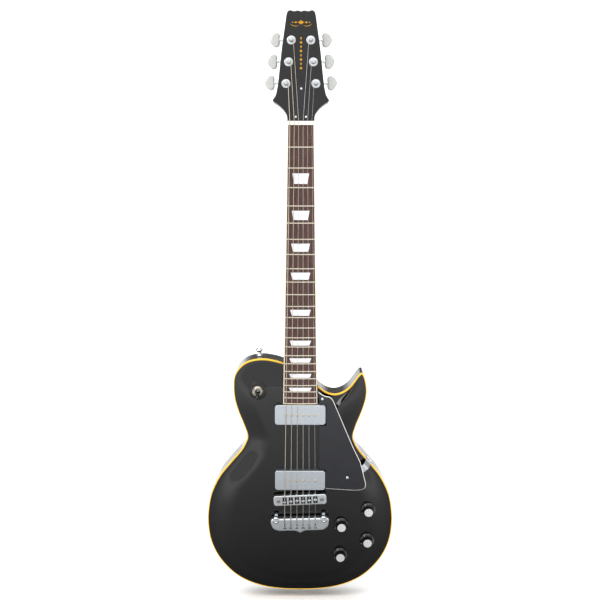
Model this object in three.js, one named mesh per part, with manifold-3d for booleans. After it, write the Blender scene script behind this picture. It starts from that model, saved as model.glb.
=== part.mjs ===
// Single-cutaway solid-body electric guitar, in millimetres.
// +Z runs up the neck, -Y is the playing side and +X is the treble side.
// The origin is on the crown of the fingerboard at the front edge of the nut, where a hanger holds the neck.
import * as THREE from "three";
import { mergeVertices } from "three/addons/utils/BufferGeometryUtils.js";
import Module from "manifold-3d";

const wasm = await Module();
wasm.setup();

const GAP = 0.3; // clearance between fitted pieces

// ---- Scale and neck
const SCALE = 628.65; // nut to bridge line, 24.75 in
const FRETS = 22;
const NECK_RISE = 21.94; // how far the board's plane climbs from the nut to the bridge line
const NECK_TILT = Math.asin(NECK_RISE / SCALE);
const HEAD_ANGLE = THREE.MathUtils.degToRad(14);
const NUT_WIDTH = 43;
const NUT_LENGTH = 6.6;
const NUT_TOP = 2.6; // above the board's crown
const LAST_FRET = SCALE * (1 - 2 ** (-FRETS / 12));
const BOARD_TAIL = 10.76; // board beyond its last fret
const BOARD_LENGTH = LAST_FRET + BOARD_TAIL;
const BOARD_END_WIDTH = 57.5;
const BOARD_THICK = 6;
const BOARD_RADIUS = 305;
const FRET_WIDTH = 2.4;
const FRET_HEIGHT = 1.1;
const NECK_DEPTH = 15; // wood behind the board at the nut
const NECK_DEPTH_END = 18.5; // and where the heel starts
const TENON_WIDTH = 38;
const TENON_DEPTH = 30;
const TENON_MARGIN = 4.5; // wood between the tenon and the neck pickup
const JOINT_HEIGHT = 231; // neck and body joint above the bridge line
const JOINT_STATION = SCALE - JOINT_HEIGHT;
const HEEL_LENGTH = 45.65; // the heel's curve, up to the joint
const HEEL_START = JOINT_STATION - HEEL_LENGTH;
const ROD_RADIUS = 3;
const ROD_DEPTH = 13; // rod axis behind the board's crown
const ROD_NUT_RADIUS = 4.2;
const ROD_LENGTH = JOINT_STATION - 20.5;

// ---- Headstock
const HEAD_THICK = 15;
const HEAD_FACE_DROP = 5.2; // headstock face behind the board's crown, at the nut
const WASHER_RADIUS = 7.2;
const POST_RADIUS = 3.1;
const POST_HEIGHT = 9;
const BUSHING_RADIUS = 4.7;
const POSTS = [
  { v: 66.6, x: 24.0 },
  { v: 101.9, x: 19.9 },
  { v: 137.7, x: 15.7 },
];
const SHAFT_OFFSET = 6.8; // button shaft above the post's axis
const HOUSING = { width: 17, length: 24, depth: 11 };
const BUTTON = { width: 15.8, length: 22.7, thick: 7, reach: 26.5 };
const GEAR_RADIUS = 4.2;
const WORM_RADIUS = 2.2;

// ---- Strings
const STRING_RADII = [0.584, 0.457, 0.33, 0.216, 0.165, 0.127];
const STRING_NAMES = ["e2", "a2", "d3", "g3", "b3", "e4"];
const NUT_SPAN = 35.2;
const BRIDGE_SPAN = 52.4;
const NUT_ACTION = 1.9; // string centre above the crown at the nut
const BRIDGE_ACTION = 5.9; // and at the bridge line

// ---- Body
const RIM = 43; // rim thickness, binding included
const ARCH = 10; // carve, above the rim
const BACK_ROUND = 5;
const BINDING_WIDTH = 2;
const BINDING_HEIGHT = 6;
const OUTLINE_STEPS = 76;
const TOP_WOOD = 12; // wood left over the cavities

// ---- Hardware on the body, heights above the bridge line
const COVER = { width: 85.5, length: 35, round: 4.8, wall: 0.8 };
const PICKUP_GAP = 1.5; // from the board's end to the neck pickup
const NECK_PICKUP = { station: BOARD_LENGTH + PICKUP_GAP + COVER.length / 2, rise: 8.3 };
const BRIDGE_PICKUP = { station: SCALE - 30.65, rise: 12 };
const POCKET_DEPTH = 18;
const BRIDGE = { width: 91, length: 18.4, height: 8.5, clear: 5.5, slant: 2.7, h: -4.5, posts: 74 };
const BRIDGE_POST_RADIUS = 3;
const SADDLE = { width: 6.6, length: 4, height: 5.2, travel: 3.9 };
const SADDLE_REST = [-1.6, -0.8, 0, -0.9, -0.2, 0.6];
const TAIL = { width: 101, length: 23.4, height: 12, clear: 4.5, slant: 1.5, h: -48.6, studs: 82 };
const STUD_RADIUS = 5.4;
const STUD_UP = 9; // studs above the middle of the tailpiece, in its open forks
const KNOB = { skirt: 12.65, cap: 8.4, height: 15, lift: 1.2 };
const POT_SHAFT_RADIUS = 3;
const POT_RADIUS = 12;
const KNOBS = [
  { name: "neck_volume", x: 71.5, h: -54.4 },
  { name: "bridge_volume", x: 117.7, h: -26.4 },
  { name: "neck_tone", x: 70.1, h: -110.4 },
  { name: "bridge_tone", x: 116.7, h: -83.3 },
];
const TOGGLE = { x: -71.6, h: 187, ring: 15.5, nut: 9.3, tilt: 14 };
const SWITCH_CAVITY_RADIUS = 26;
const COVER_PLATE = 2; // thickness of the two back covers
const COVER_LEDGE = 4;
const GUARD = { thick: 3, clear: 5 };
const JACK = { turn: -31, plate: RIM - BINDING_HEIGHT - 1, plateThick: 1.6, barrel: 9.5, depth: 26, bore: 3.3 };
const STRAP = { head: 6.5, neck: 4, base: 5.5, length: 13 };
const UPPER_STRAP_X = -69.5;

// ---- Helpers
const finishes = {
  blackLacquer: [0x1c1c1e, 0.12, 0],
  amber: [0xf0c150, 0.3, 0],
  rosewood: [0x4a332c, 0.6, 0],
  bone: [0xf2efe6, 0.4, 0],
  chrome: [0xc6cacd, 0.15, 1],
  steel: [0xa9adb0, 0.3, 1],
  satinCover: [0xb9bec2, 0.35, 1],
  blackPlastic: [0x17171a, 0.35, 0],
  guardPlastic: [0x2c2d32, 0.25, 0],
  pearl: [0xdfe0dc, 0.3, 0],
  wire: [0xb8b0a4, 0.35, 1],
  coil: [0x2a211c, 0.7, 0],
};

function finish(name) {
  const [color, roughness, metalness] = finishes[name];
  return new THREE.MeshStandardMaterial({ name, color, roughness, metalness });
}

function solid(geometry) {
  const bare = geometry.index ? geometry.toNonIndexed() : geometry.clone();
  bare.deleteAttribute("normal");
  bare.deleteAttribute("uv");
  const merged = mergeVertices(bare, 1e-4);
  const triVerts = new Uint32Array(merged.index.array);
  const build = () =>
    new wasm.Manifold(
      new wasm.Mesh({
        numProp: 3,
        vertProperties: merged.attributes.position.array,
        triVerts,
      }),
    );
  const made = build();
  if (made.volume() > 0) return made;
  triVerts.reverse();
  return build();
}

function join(...solids) {
  return solids.reduce((a, b) => a.add(b));
}

function cut(base, ...tools) {
  return tools.reduce((a, b) => a.subtract(b), base);
}

function mesh(name, shape, finishName) {
  const made = shape.getMesh();
  const geometry = new THREE.BufferGeometry();
  geometry.setAttribute("position", new THREE.BufferAttribute(made.vertProperties, 3));
  geometry.setIndex(new THREE.BufferAttribute(made.triVerts, 1));
  geometry.computeVertexNormals();
  const result = new THREE.Mesh(geometry, finish(finishName));
  result.name = name;
  return result;
}

function box(width, depth, height, x = 0, y = 0, z = 0) {
  return new THREE.BoxGeometry(width, depth, height).translate(x, y, z);
}

// A cylinder from p to q, or a cone frustum when the end radius differs.
function rod(p, q, radius, sides = 16, endRadius = radius) {
  const a = new THREE.Vector3(...p);
  const b = new THREE.Vector3(...q);
  const axis = b.clone().sub(a);
  const geometry = new THREE.CylinderGeometry(endRadius, radius, axis.length(), sides);
  const turn = new THREE.Quaternion().setFromUnitVectors(
    new THREE.Vector3(0, 1, 0),
    axis.clone().normalize(),
  );
  return geometry.applyQuaternion(turn).translate(...a.add(b).multiplyScalar(0.5).toArray());
}

// A turned piece: profile points are [radius, distance along the axis from p].
function turned(profile, p, direction, sides = 20) {
  const points = profile.map(([r, t]) => new THREE.Vector2(r, t));
  const turn = new THREE.Quaternion().setFromUnitVectors(
    new THREE.Vector3(0, 1, 0),
    new THREE.Vector3(...direction).normalize(),
  );
  return new THREE.LatheGeometry(points, sides).applyQuaternion(turn).translate(...p);
}

function shapeOf(points) {
  return new THREE.Shape(points.map(([a, b]) => new THREE.Vector2(a, b)));
}

// A plate drawn in X and Z, from front to back along Y.
function plate(shape, front, back, curveSegments = 6) {
  return new THREE.ExtrudeGeometry(shape, {
    depth: back - front,
    bevelEnabled: false,
    curveSegments,
  })
    .rotateX(Math.PI / 2)
    .translate(0, back, 0);
}

// A bar drawn in Y and Z, from left to right along X.
function bar(points, left, right) {
  const frame = new THREE.Matrix4().makeBasis(
    new THREE.Vector3(0, 1, 0),
    new THREE.Vector3(0, 0, 1),
    new THREE.Vector3(1, 0, 0),
  );
  return new THREE.ExtrudeGeometry(shapeOf(points), { depth: right - left, bevelEnabled: false })
    .applyMatrix4(frame)
    .translate(left, 0, 0);
}

function roundedRect(width, height, round, x = 0, z = 0) {
  const w = width / 2;
  const h = height / 2;
  const shape = new THREE.Shape();
  shape.moveTo(x - w + round, z - h);
  shape.lineTo(x + w - round, z - h);
  shape.absarc(x + w - round, z - h + round, round, -Math.PI / 2, 0);
  shape.lineTo(x + w, z + h - round);
  shape.absarc(x + w - round, z + h - round, round, 0, Math.PI / 2);
  shape.lineTo(x - w + round, z + h);
  shape.absarc(x - w + round, z + h - round, round, Math.PI / 2, Math.PI);
  shape.lineTo(x - w, z - h + round);
  shape.absarc(x - w + round, z - h + round, round, Math.PI, Math.PI * 1.5);
  return shape;
}

// Skins closed rings of equal count; the caps are drawn in the two named axes.
function loft(rings, axes) {
  const count = rings[0].length;
  const index = [];
  for (let r = 0; r + 1 < rings.length; r++) {
    for (let i = 0; i < count; i++) {
      const j = (i + 1) % count;
      const a = r * count + i;
      const b = r * count + j;
      index.push(a, b, b + count, a, b + count, a + count);
    }
  }
  const cap = (ring, offset, forward) => {
    const flat = ring.map((p) => new THREE.Vector2(p[axes[0]], p[axes[1]]));
    const faces = THREE.ShapeUtils.triangulateShape(flat, []);
    const covered = faces.reduce(
      (sum, face) => sum + THREE.ShapeUtils.area(face.map((k) => flat[k])),
      0,
    );
    const asRing = covered > 0 === THREE.ShapeUtils.area(flat) > 0;
    for (const [a, b, c] of faces) {
      const face = asRing === forward ? [a, b, c] : [a, c, b];
      index.push(...face.map((k) => k + offset));
    }
  };
  cap(rings[0], 0, false);
  cap(rings.at(-1), (rings.length - 1) * count, true);
  const geometry = new THREE.BufferGeometry();
  const positions = rings.flat().flatMap((p) => [p.x, p.y, p.z]);
  geometry.setAttribute("position", new THREE.Float32BufferAttribute(positions, 3));
  geometry.setIndex(index);
  return geometry;
}

function placed(geometry, matrix) {
  return geometry.clone().applyMatrix4(matrix);
}

// ---- Frames
const root = new THREE.Group();
const neckGroup = new THREE.Group();
neckGroup.rotation.x = -NECK_TILT;
const headGroup = new THREE.Group();
headGroup.position.set(0, HEAD_FACE_DROP, NUT_LENGTH);
headGroup.rotation.x = -HEAD_ANGLE;
neckGroup.add(headGroup);
root.add(neckGroup);
root.updateMatrixWorld(true);
const NECK = neckGroup.matrixWorld;
const HEAD = headGroup.matrixWorld;
const HEAD_IN_NECK = headGroup.matrix;

const stringFactor = (station) => station / SCALE;
const stringRise = (station) =>
  THREE.MathUtils.lerp(NUT_ACTION, BRIDGE_ACTION, stringFactor(station));
const bridgePoint = new THREE.Vector3(0, -BRIDGE_ACTION, -SCALE).applyMatrix4(NECK);
const BRIDGE_Z = bridgePoint.z;
const STRING_Y = bridgePoint.y; // string plane at the bridge line
const TOP_Y = -ARCH;
const stationZ = (station) =>
  new THREE.Vector3(0, -stringRise(station), -station).applyMatrix4(NECK).z;
const boardHalf = (station) =>
  THREE.MathUtils.lerp(NUT_WIDTH, BOARD_END_WIDTH, station / BOARD_LENGTH) / 2;
const stringX = (index, span) => (index / 5 - 0.5) * span;

// ---- Neck
function neckRing(station, depth, boxy, upright = false) {
  const half = boardHalf(Math.min(station, BOARD_LENGTH));
  const top = BOARD_THICK + GAP;
  const lean = upright ? Math.tan(NECK_TILT) : 0;
  const ring = [];
  const steps = 10;
  for (let i = 0; i <= steps; i++) {
    const angle = (Math.PI * i) / steps;
    const c = Math.cos(angle);
    const s = Math.sin(angle);
    const x = Math.sign(c) * Math.abs(c) ** boxy * half;
    const y = top + depth * s ** boxy;
    ring.push(new THREE.Vector3(x, y, y * lean - station));
  }
  return ring;
}

const heelDepth = RIM - 4;

// How far the heel reaches behind the board, so that it meets the body's back at the rim.
function heelReach(station) {
  const boardBack = BOARD_THICK - station * Math.sin(NECK_TILT);
  return heelDepth - boardBack;
}

const TENON_END = NECK_PICKUP.station - COVER.length / 2 - TENON_MARGIN;

function headHalfWidths() {
  return [
    [-2, 21.9],
    [6, 22.1],
    [13, 24.6],
    [19.4, 29.2],
    [26.4, 37.1],
    [31.6, 45.1],
    [34, 45.4],
    [39.4, 41.6],
    [45.4, 39.7],
    [59.4, 37],
    [117.4, 31.2],
    [173.4, 23.6],
    [178.4, 21.6],
    [180.4, 19.2],
  ];
}

function headOutline() {
  const side = headHalfWidths();
  const right = side.map(([v, x]) => [x, v]);
  const left = side.map(([v, x]) => [-x, v]).reverse();
  const crown = [
    [11, 179.2],
    [6, 180],
    [0, 178.8],
    [-6, 180],
    [-11, 179.2],
  ];
  return shapeOf([...right, ...crown, ...left]);
}

function postSites() {
  return POSTS.flatMap(({ v, x }, row) =>
    [-1, 1].map((side) => ({
      side,
      x: side * x,
      v: v - NUT_LENGTH,
      name: (side < 0 ? "bass_" : "treble_") + (row + 1),
    })),
  );
}

function neckSolid() {
  const middle = HEEL_START / 2;
  const shaft = loft(
    [
      neckRing(-NUT_LENGTH, NECK_DEPTH + 1.5, 0.8),
      neckRing(8, NECK_DEPTH + 0.6, 0.8),
      neckRing(40, NECK_DEPTH, 0.85),
      neckRing(middle, (NECK_DEPTH + NECK_DEPTH_END) / 2, 0.85),
      neckRing(HEEL_START, NECK_DEPTH_END, 0.8),
      neckRing(HEEL_START + 14, NECK_DEPTH_END + 3, 0.7),
      neckRing(HEEL_START + 26, NECK_DEPTH_END + 10, 0.55),
      neckRing(HEEL_START + 34, heelReach(JOINT_STATION) - 4, 0.45),
      neckRing(JOINT_STATION - 5, heelReach(JOINT_STATION), 0.4, true),
      neckRing(JOINT_STATION - 1, heelReach(JOINT_STATION), 0.4, true),
    ],
    ["x", "y"],
  );
  const tenonTop = BOARD_THICK + GAP;
  const tenon = box(
    TENON_WIDTH,
    TENON_DEPTH,
    TENON_END - JOINT_STATION + 20,
    0,
    tenonTop + TENON_DEPTH / 2,
    -(TENON_END + JOINT_STATION - 20) / 2,
  );
  const head = placed(
    plate(headOutline(), 0, HEAD_THICK),
    HEAD_IN_NECK,
  );
  const volute = placed(
    bar(
      [
        [2, -16],
        [HEAD_THICK + 3, -14],
        [HEAD_THICK + 2, 2],
        [HEAD_THICK - 1, 18],
        [2, 18],
      ],
      -17,
      17,
    ),
    HEAD_IN_NECK,
  );
  const nutShelf = box(NUT_WIDTH + 2, 20, NUT_LENGTH + 30, 0, BOARD_THICK + GAP - 10, -30 + NUT_LENGTH / 2 + 15);
  let neck = join(solid(shaft), solid(tenon), solid(head), solid(volute));
  neck = cut(neck, solid(nutShelf));
  const channel = rod(
    [0, ROD_DEPTH, 24],
    [0, ROD_DEPTH, -ROD_LENGTH - 1],
    ROD_RADIUS + GAP,
    12,
  );
  const reach = ROD_DEPTH + ROD_NUT_RADIUS - HEAD_FACE_DROP - 2 * GAP;
  const access = placed(box(13, reach + 6, 34, 0, (reach - 6) / 2, 12), HEAD_IN_NECK);
  neck = cut(neck, solid(channel), solid(access));
  for (const { x, v } of postSites()) {
    const hole = rod([x, -5, v], [x, HEAD_THICK + 5, v], BUSHING_RADIUS + GAP, 10);
    neck = cut(neck, solid(placed(hole, HEAD_IN_NECK)));
  }
  return neck;
}

function boardSection(half, z) {
  const ring = [];
  for (let i = 0; i <= 2; i++) {
    const x = half * (1 - i);
    ring.push(new THREE.Vector3(x, (x * x) / (2 * BOARD_RADIUS), z));
  }
  ring.push(new THREE.Vector3(-half, BOARD_THICK, z), new THREE.Vector3(half, BOARD_THICK, z));
  return ring;
}

const fretStation = (n) => SCALE * (1 - 2 ** (-n / 12));

function fretboardSolid() {
  let board = solid(
    loft([boardSection(boardHalf(0), -GAP), boardSection(boardHalf(BOARD_LENGTH), -BOARD_LENGTH)], ["x", "y"]),
  );
  for (let n = 1; n <= FRETS; n++) {
    const z = -fretStation(n);
    const half = boardHalf(-z) - 1.2;
    const crown = (side) =>
      [1, 0, -1].map((k) => {
        const x = k * half;
        return new THREE.Vector3(x, (x * x) / (2 * BOARD_RADIUS) - FRET_HEIGHT, z + side);
      });
    const ring = (side) => [
      ...crown(side),
      new THREE.Vector3(-half, 2, z + side),
      new THREE.Vector3(half, 2, z + side),
    ];
    board = board.add(solid(loft([ring(FRET_WIDTH / 2), ring(-FRET_WIDTH / 2)], ["x", "y"])));
  }
  return board;
}

function nutSolid() {
  const profile = [
    [-NUT_TOP, 0],
    [BOARD_THICK, 0],
    [BOARD_THICK, NUT_LENGTH - GAP],
    [-NUT_TOP + 1.6, NUT_LENGTH - GAP],
  ];
  let nut = solid(bar(profile, -NUT_WIDTH / 2, NUT_WIDTH / 2));
  STRING_RADII.forEach((radius, i) => {
    const x = stringX(i, NUT_SPAN);
    const floor = -NUT_ACTION + radius + GAP;
    const slot = bar(
      [
        [-9, -1],
        [floor, -1],
        [floor, 0.6],
        [floor + 2.6, NUT_LENGTH + 2],
        [-9, NUT_LENGTH + 2],
      ],
      x - radius - 2 * GAP,
      x + radius + 2 * GAP,
    );
    nut = cut(nut, solid(slot));
  });
  return nut;
}

function trussRodSolid() {
  const shaft = rod([0, ROD_DEPTH, 14], [0, ROD_DEPTH, -ROD_LENGTH], ROD_RADIUS, 10);
  const hexNut = rod([0, ROD_DEPTH, 9], [0, ROD_DEPTH, 18], ROD_NUT_RADIUS, 6);
  return join(solid(shaft), solid(hexNut));
}

function trussRodCoverSolid() {
  const shape = new THREE.Shape();
  shape.moveTo(-12, 1);
  shape.lineTo(12, 1);
  shape.lineTo(12, 7);
  shape.bezierCurveTo(11, 22, 6, 34, 5.5, 50);
  shape.absarc(0, 52, 5.5, 0, Math.PI);
  shape.bezierCurveTo(-6, 34, -11, 22, -12, 7);
  shape.closePath();
  return solid(plate(shape, -2 - GAP, -GAP, 8));
}

// ---- Tuners, in the headstock's frame: y 0 is its face
const HEAD_BACK = HEAD_THICK + GAP;
const SHAFT_Y = HEAD_BACK + HOUSING.depth / 2;

function tunerHousing({ x, v, side }) {
  const can = box(
    HOUSING.width,
    HOUSING.depth,
    HOUSING.length,
    x,
    HEAD_BACK + HOUSING.depth / 2,
    v + 2.4,
  );
  const sleeve = rod(
    [x, SHAFT_Y, v + SHAFT_OFFSET],
    [x + side * (HOUSING.width / 2 + 4), SHAFT_Y, v + SHAFT_OFFSET],
    4.2,
    10,
  );
  const bushing = rod([x, -2, v], [x, HEAD_BACK + 2, v], BUSHING_RADIUS, 10);
  const washer = rod([x, -GAP, v], [x, -GAP - 2.2, v], WASHER_RADIUS, 14, WASHER_RADIUS - 1);
  const postBore = rod([x, -10, v], [x, HEAD_BACK + 5, v], POST_RADIUS + 1.5 * GAP, 10);
  const gearRoom = rod(
    [x, HEAD_BACK + 2.6, v],
    [x, HEAD_BACK + 8.4, v],
    GEAR_RADIUS + 1.5 * GAP,
    12,
  );
  const wormRoom = rod(
    [x - side * 6, SHAFT_Y, v + SHAFT_OFFSET],
    [x + side * 30, SHAFT_Y, v + SHAFT_OFFSET],
    WORM_RADIUS + 1.5 * GAP,
    10,
  );
  return cut(
    join(solid(can), solid(sleeve), solid(bushing), solid(washer)),
    solid(postBore),
    solid(gearRoom),
    solid(wormRoom),
  );
}

function tunerPost({ x, v }) {
  const post = turned(
    [
      [0, -POST_HEIGHT],
      [POST_RADIUS, -POST_HEIGHT],
      [POST_RADIUS - 0.5, -5.5],
      [POST_RADIUS - 0.5, -4],
      [POST_RADIUS, -3],
      [POST_RADIUS, HEAD_BACK + 4],
      [0, HEAD_BACK + 4],
    ],
    [x, 0, v],
    [0, 1, 0],
    10,
  );
  const gear = rod([x, HEAD_BACK + 3, v], [x, HEAD_BACK + 8, v], GEAR_RADIUS, 14);
  return join(solid(post), solid(gear));
}

function tunerButton({ x, v, side }) {
  const z = v + SHAFT_OFFSET;
  const centre = x + side * BUTTON.reach;
  const flat = centre - side * (BUTTON.width / 2);
  const half = BUTTON.length / 2;
  const shape = new THREE.Shape();
  shape.moveTo(flat, z - half + 3);
  shape.bezierCurveTo(flat, z - half, flat + side * 3, z - half, flat + side * 5, z - half);
  shape.bezierCurveTo(
    flat + side * (BUTTON.width + 1.2),
    z - half,
    flat + side * (BUTTON.width + 1.2),
    z + half,
    flat + side * 5,
    z + half,
  );
  shape.bezierCurveTo(flat + side * 3, z + half, flat, z + half, flat, z + half - 3);
  shape.closePath();
  const head = plate(shape, SHAFT_Y - BUTTON.thick / 2, SHAFT_Y + BUTTON.thick / 2, 4);
  const collar = rod(
    [x + side * (HOUSING.width / 2 + 4 + GAP), SHAFT_Y, z],
    [flat + side * 2, SHAFT_Y, z],
    2.7,
    10,
  );
  const shaft = rod(
    [x - side * 5.5, SHAFT_Y, z],
    [flat + side * 2, SHAFT_Y, z],
    WORM_RADIUS,
    10,
  );
  return join(solid(head), solid(collar), solid(shaft));
}

// ---- Strings, each held at the post, nut, saddle and tailpiece
const STRING_POSTS = ["bass_1", "bass_2", "bass_3", "treble_3", "treble_2", "treble_1"];

function saddlePoint(i) {
  const slant = THREE.MathUtils.degToRad(BRIDGE.slant);
  const x = stringX(i, BRIDGE_SPAN);
  const z = BRIDGE_Z + BRIDGE.h + x * Math.tan(slant) + SADDLE_REST[i];
  return new THREE.Vector3(x, STRING_Y, z);
}

function tailPoint(i) {
  const slant = THREE.MathUtils.degToRad(TAIL.slant);
  const x = stringX(i, BRIDGE_SPAN);
  return new THREE.Vector3(x, TAIL_STRING_Y, BRIDGE_Z + TAIL.h + x * Math.tan(slant));
}

function stringSolid(i) {
  const radius = STRING_RADII[i];
  const site = postSites().find(({ name }) => name === STRING_POSTS[i]);
  const hook = new THREE.Vector3(
    site.x - site.side * (POST_RADIUS - 0.5 + radius + GAP),
    -4.75,
    site.v,
  ).applyMatrix4(HEAD);
  const x = stringX(i, NUT_SPAN);
  const nutFront = new THREE.Vector3(x, -NUT_ACTION, 0.5).applyMatrix4(NECK);
  const saddle = saddlePoint(i);
  const before = saddle.clone().lerp(nutFront, 0.004);
  const after = saddle.clone().add(new THREE.Vector3(0, 0, -1.2));
  const end = tailPoint(i);
  const points = [hook, nutFront, before, after, end];
  const sides = 6;
  const rings = points.map((p) => {
    const ring = [];
    for (let k = 0; k < sides; k++) {
      const angle = (2 * Math.PI * k) / sides;
      ring.push(
        new THREE.Vector3(p.x + radius * Math.cos(angle), p.y + radius * Math.sin(angle), p.z),
      );
    }
    return ring;
  });
  return solid(loft(rings, ["x", "y"]));
}

// ---- Body outline: each row is [x, height above the bridge line, the same point on the carved plateau]
const BASS_SHOULDER = [
  [-28.2, 232, -20, 186],
  [-43, 236.4, -29, 189],
  [-61, 239.2, -42, 190.5],
  [-80, 237.4, -54, 188.5],
  [-95, 231.1, -62, 184],
  [-106, 219.8, -68, 177.5],
  [-112, 207, -71, 170],
  [-113.3, 189, -72, 160],
  [-111.5, 168, -69, 147],
  [-105, 145, -63, 133],
  [-96.5, 123, -56, 118],
];
const LOWER_BOUT = [
  [90.5, 103, 51, 103],
  [94, 90.5, 52, 88],
  [101, 77.5, 56, 72],
  [113, 63, 66, 54],
  [125, 48.5, 80, 36],
  [137, 33, 94, 19],
  [148, 13, 104, -1],
  [156, -9, 111, -19],
  [160.3, -36, 115, -40],
  [160.8, -60, 116, -58],
  [157.3, -86.5, 113, -76],
  [149, -110, 107, -93],
  [135.5, -132, 97, -109],
  [114.5, -154, 82, -125],
  [90, -169, 64, -136],
  [62, -178.5, 44, -143],
  [32, -183, 23, -146],
];
const TREBLE_HORN = [
  [96, 123, 55, 118],
  [104.5, 145, 61, 130],
  [110.8, 165, 66, 141],
  [113, 181, 68, 148],
  [112, 195, 69, 152],
  [109.3, 206, 69, 154],
  [106.6, 212.5, 68, 155.4],
  [102.6, 214.2, 67, 155.6],
  [98, 209.8, 65.5, 155],
  [92, 201, 63, 154],
  [84.5, 191, 60, 152.5],
  [76.5, 184, 56.5, 151],
  [68.5, 179.7, 53, 149.6],
  [60, 177.6, 48.5, 149],
  [51.5, 178.3, 44, 149.4],
  [44, 181, 39.5, 151],
  [37.3, 185.3, 34, 153.6],
  [30.2, 191.4, 29, 157],
];

function bodyCurves() {
  const rows = [
    ...BASS_SHOULDER,
    ...LOWER_BOUT.map(([x, h, px, ph]) => [-x, h, -px, ph]),
    [0, -184, 0, -147],
    ...LOWER_BOUT.toReversed(),
    ...TREBLE_HORN,
  ];
  const curve = (a, b) =>
    new THREE.CatmullRomCurve3(
      rows.map((row) => new THREE.Vector3(row[a], 0, BRIDGE_Z + row[b])),
      false,
      "catmullrom",
      0.5,
    );
  const rim = curve(0, 1).getPoints(OUTLINE_STEPS);
  const plateau = curve(2, 3).getPoints(OUTLINE_STEPS);
  const edge = curve(0, 1).getPoints(OUTLINE_STEPS * 20);
  return { rim, plateau, edge };
}

const { rim: RIM_LINE, plateau: PLATEAU_LINE, edge: RIM_EDGE } = bodyCurves();

// Unit vectors that point into the body from each rim point.
function inwardNormals(line) {
  return line.map((p, i) => {
    const before = line[Math.max(i - 1, 0)];
    const after = line[Math.min(i + 1, line.length - 1)];
    const tangent = after.clone().sub(before).normalize();
    return new THREE.Vector3(tangent.z, 0, -tangent.x);
  });
}

const INWARD = (() => {
  const normals = inwardNormals(RIM_LINE);
  const centre = PLATEAU_LINE[20].clone().sub(RIM_LINE[20]);
  return normals[20].dot(centre) > 0 ? normals : normals.map((n) => n.negate());
})();

function rimRing(inset, y) {
  return RIM_LINE.map((p, i) => p.clone().addScaledVector(INWARD[i], inset).setY(y));
}

// A ring drawn in along the lines that join the rim to the plateau, so that it never folds at the horn.
function drawnRing(inset, y) {
  return RIM_LINE.map((p, i) => {
    const inward = PLATEAU_LINE[i].clone().sub(p).normalize();
    return p.clone().addScaledVector(inward, inset).setY(y);
  });
}

function carveRing(t, inset) {
  const rise = (1 - Math.cos(Math.PI * t)) / 2;
  return RIM_LINE.map((p, i) =>
    p
      .clone()
      .addScaledVector(INWARD[i], inset)
      .lerp(PLATEAU_LINE[i], t)
      .setY(-ARCH * rise),
  );
}

function boardRoom() {
  const ring = (station) => {
    const half = boardHalf(station) + GAP;
    return [
      new THREE.Vector3(-half, -40, -station),
      new THREE.Vector3(half, -40, -station),
      new THREE.Vector3(half, BOARD_THICK + GAP, -station),
      new THREE.Vector3(-half, BOARD_THICK + GAP, -station),
    ];
  };
  return placed(loft([ring(JOINT_STATION - 38), ring(BOARD_LENGTH + GAP)], ["x", "y"]), NECK);
}

function tenonRoom() {
  const width = TENON_WIDTH + 2 * GAP;
  const depth = TENON_DEPTH + 2 * GAP;
  const geometry = box(
    width,
    depth + 8,
    TENON_END - JOINT_STATION + 40 + GAP,
    0,
    BOARD_THICK + (depth - 8) / 2,
    -(TENON_END + GAP + JOINT_STATION - 40) / 2,
  );
  return placed(geometry, NECK);
}

function controlCavityShape(grow) {
  const margin = POT_RADIUS + 2 + grow;
  const xs = KNOBS.map(({ x }) => x);
  const hs = KNOBS.map(({ h }) => h);
  const left = Math.min(...xs) - margin;
  const right = Math.max(...xs) + margin;
  const low = Math.min(...hs) - margin;
  const high = Math.max(...hs) + margin;
  const points = [
    [left, low],
    [left + 34, low],
    [right, low + 36],
    [right, high],
    [right - 34, high],
    [left, high - 34],
  ];
  return shapeOf(points.map(([x, h]) => [x, BRIDGE_Z + h]));
}

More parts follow.
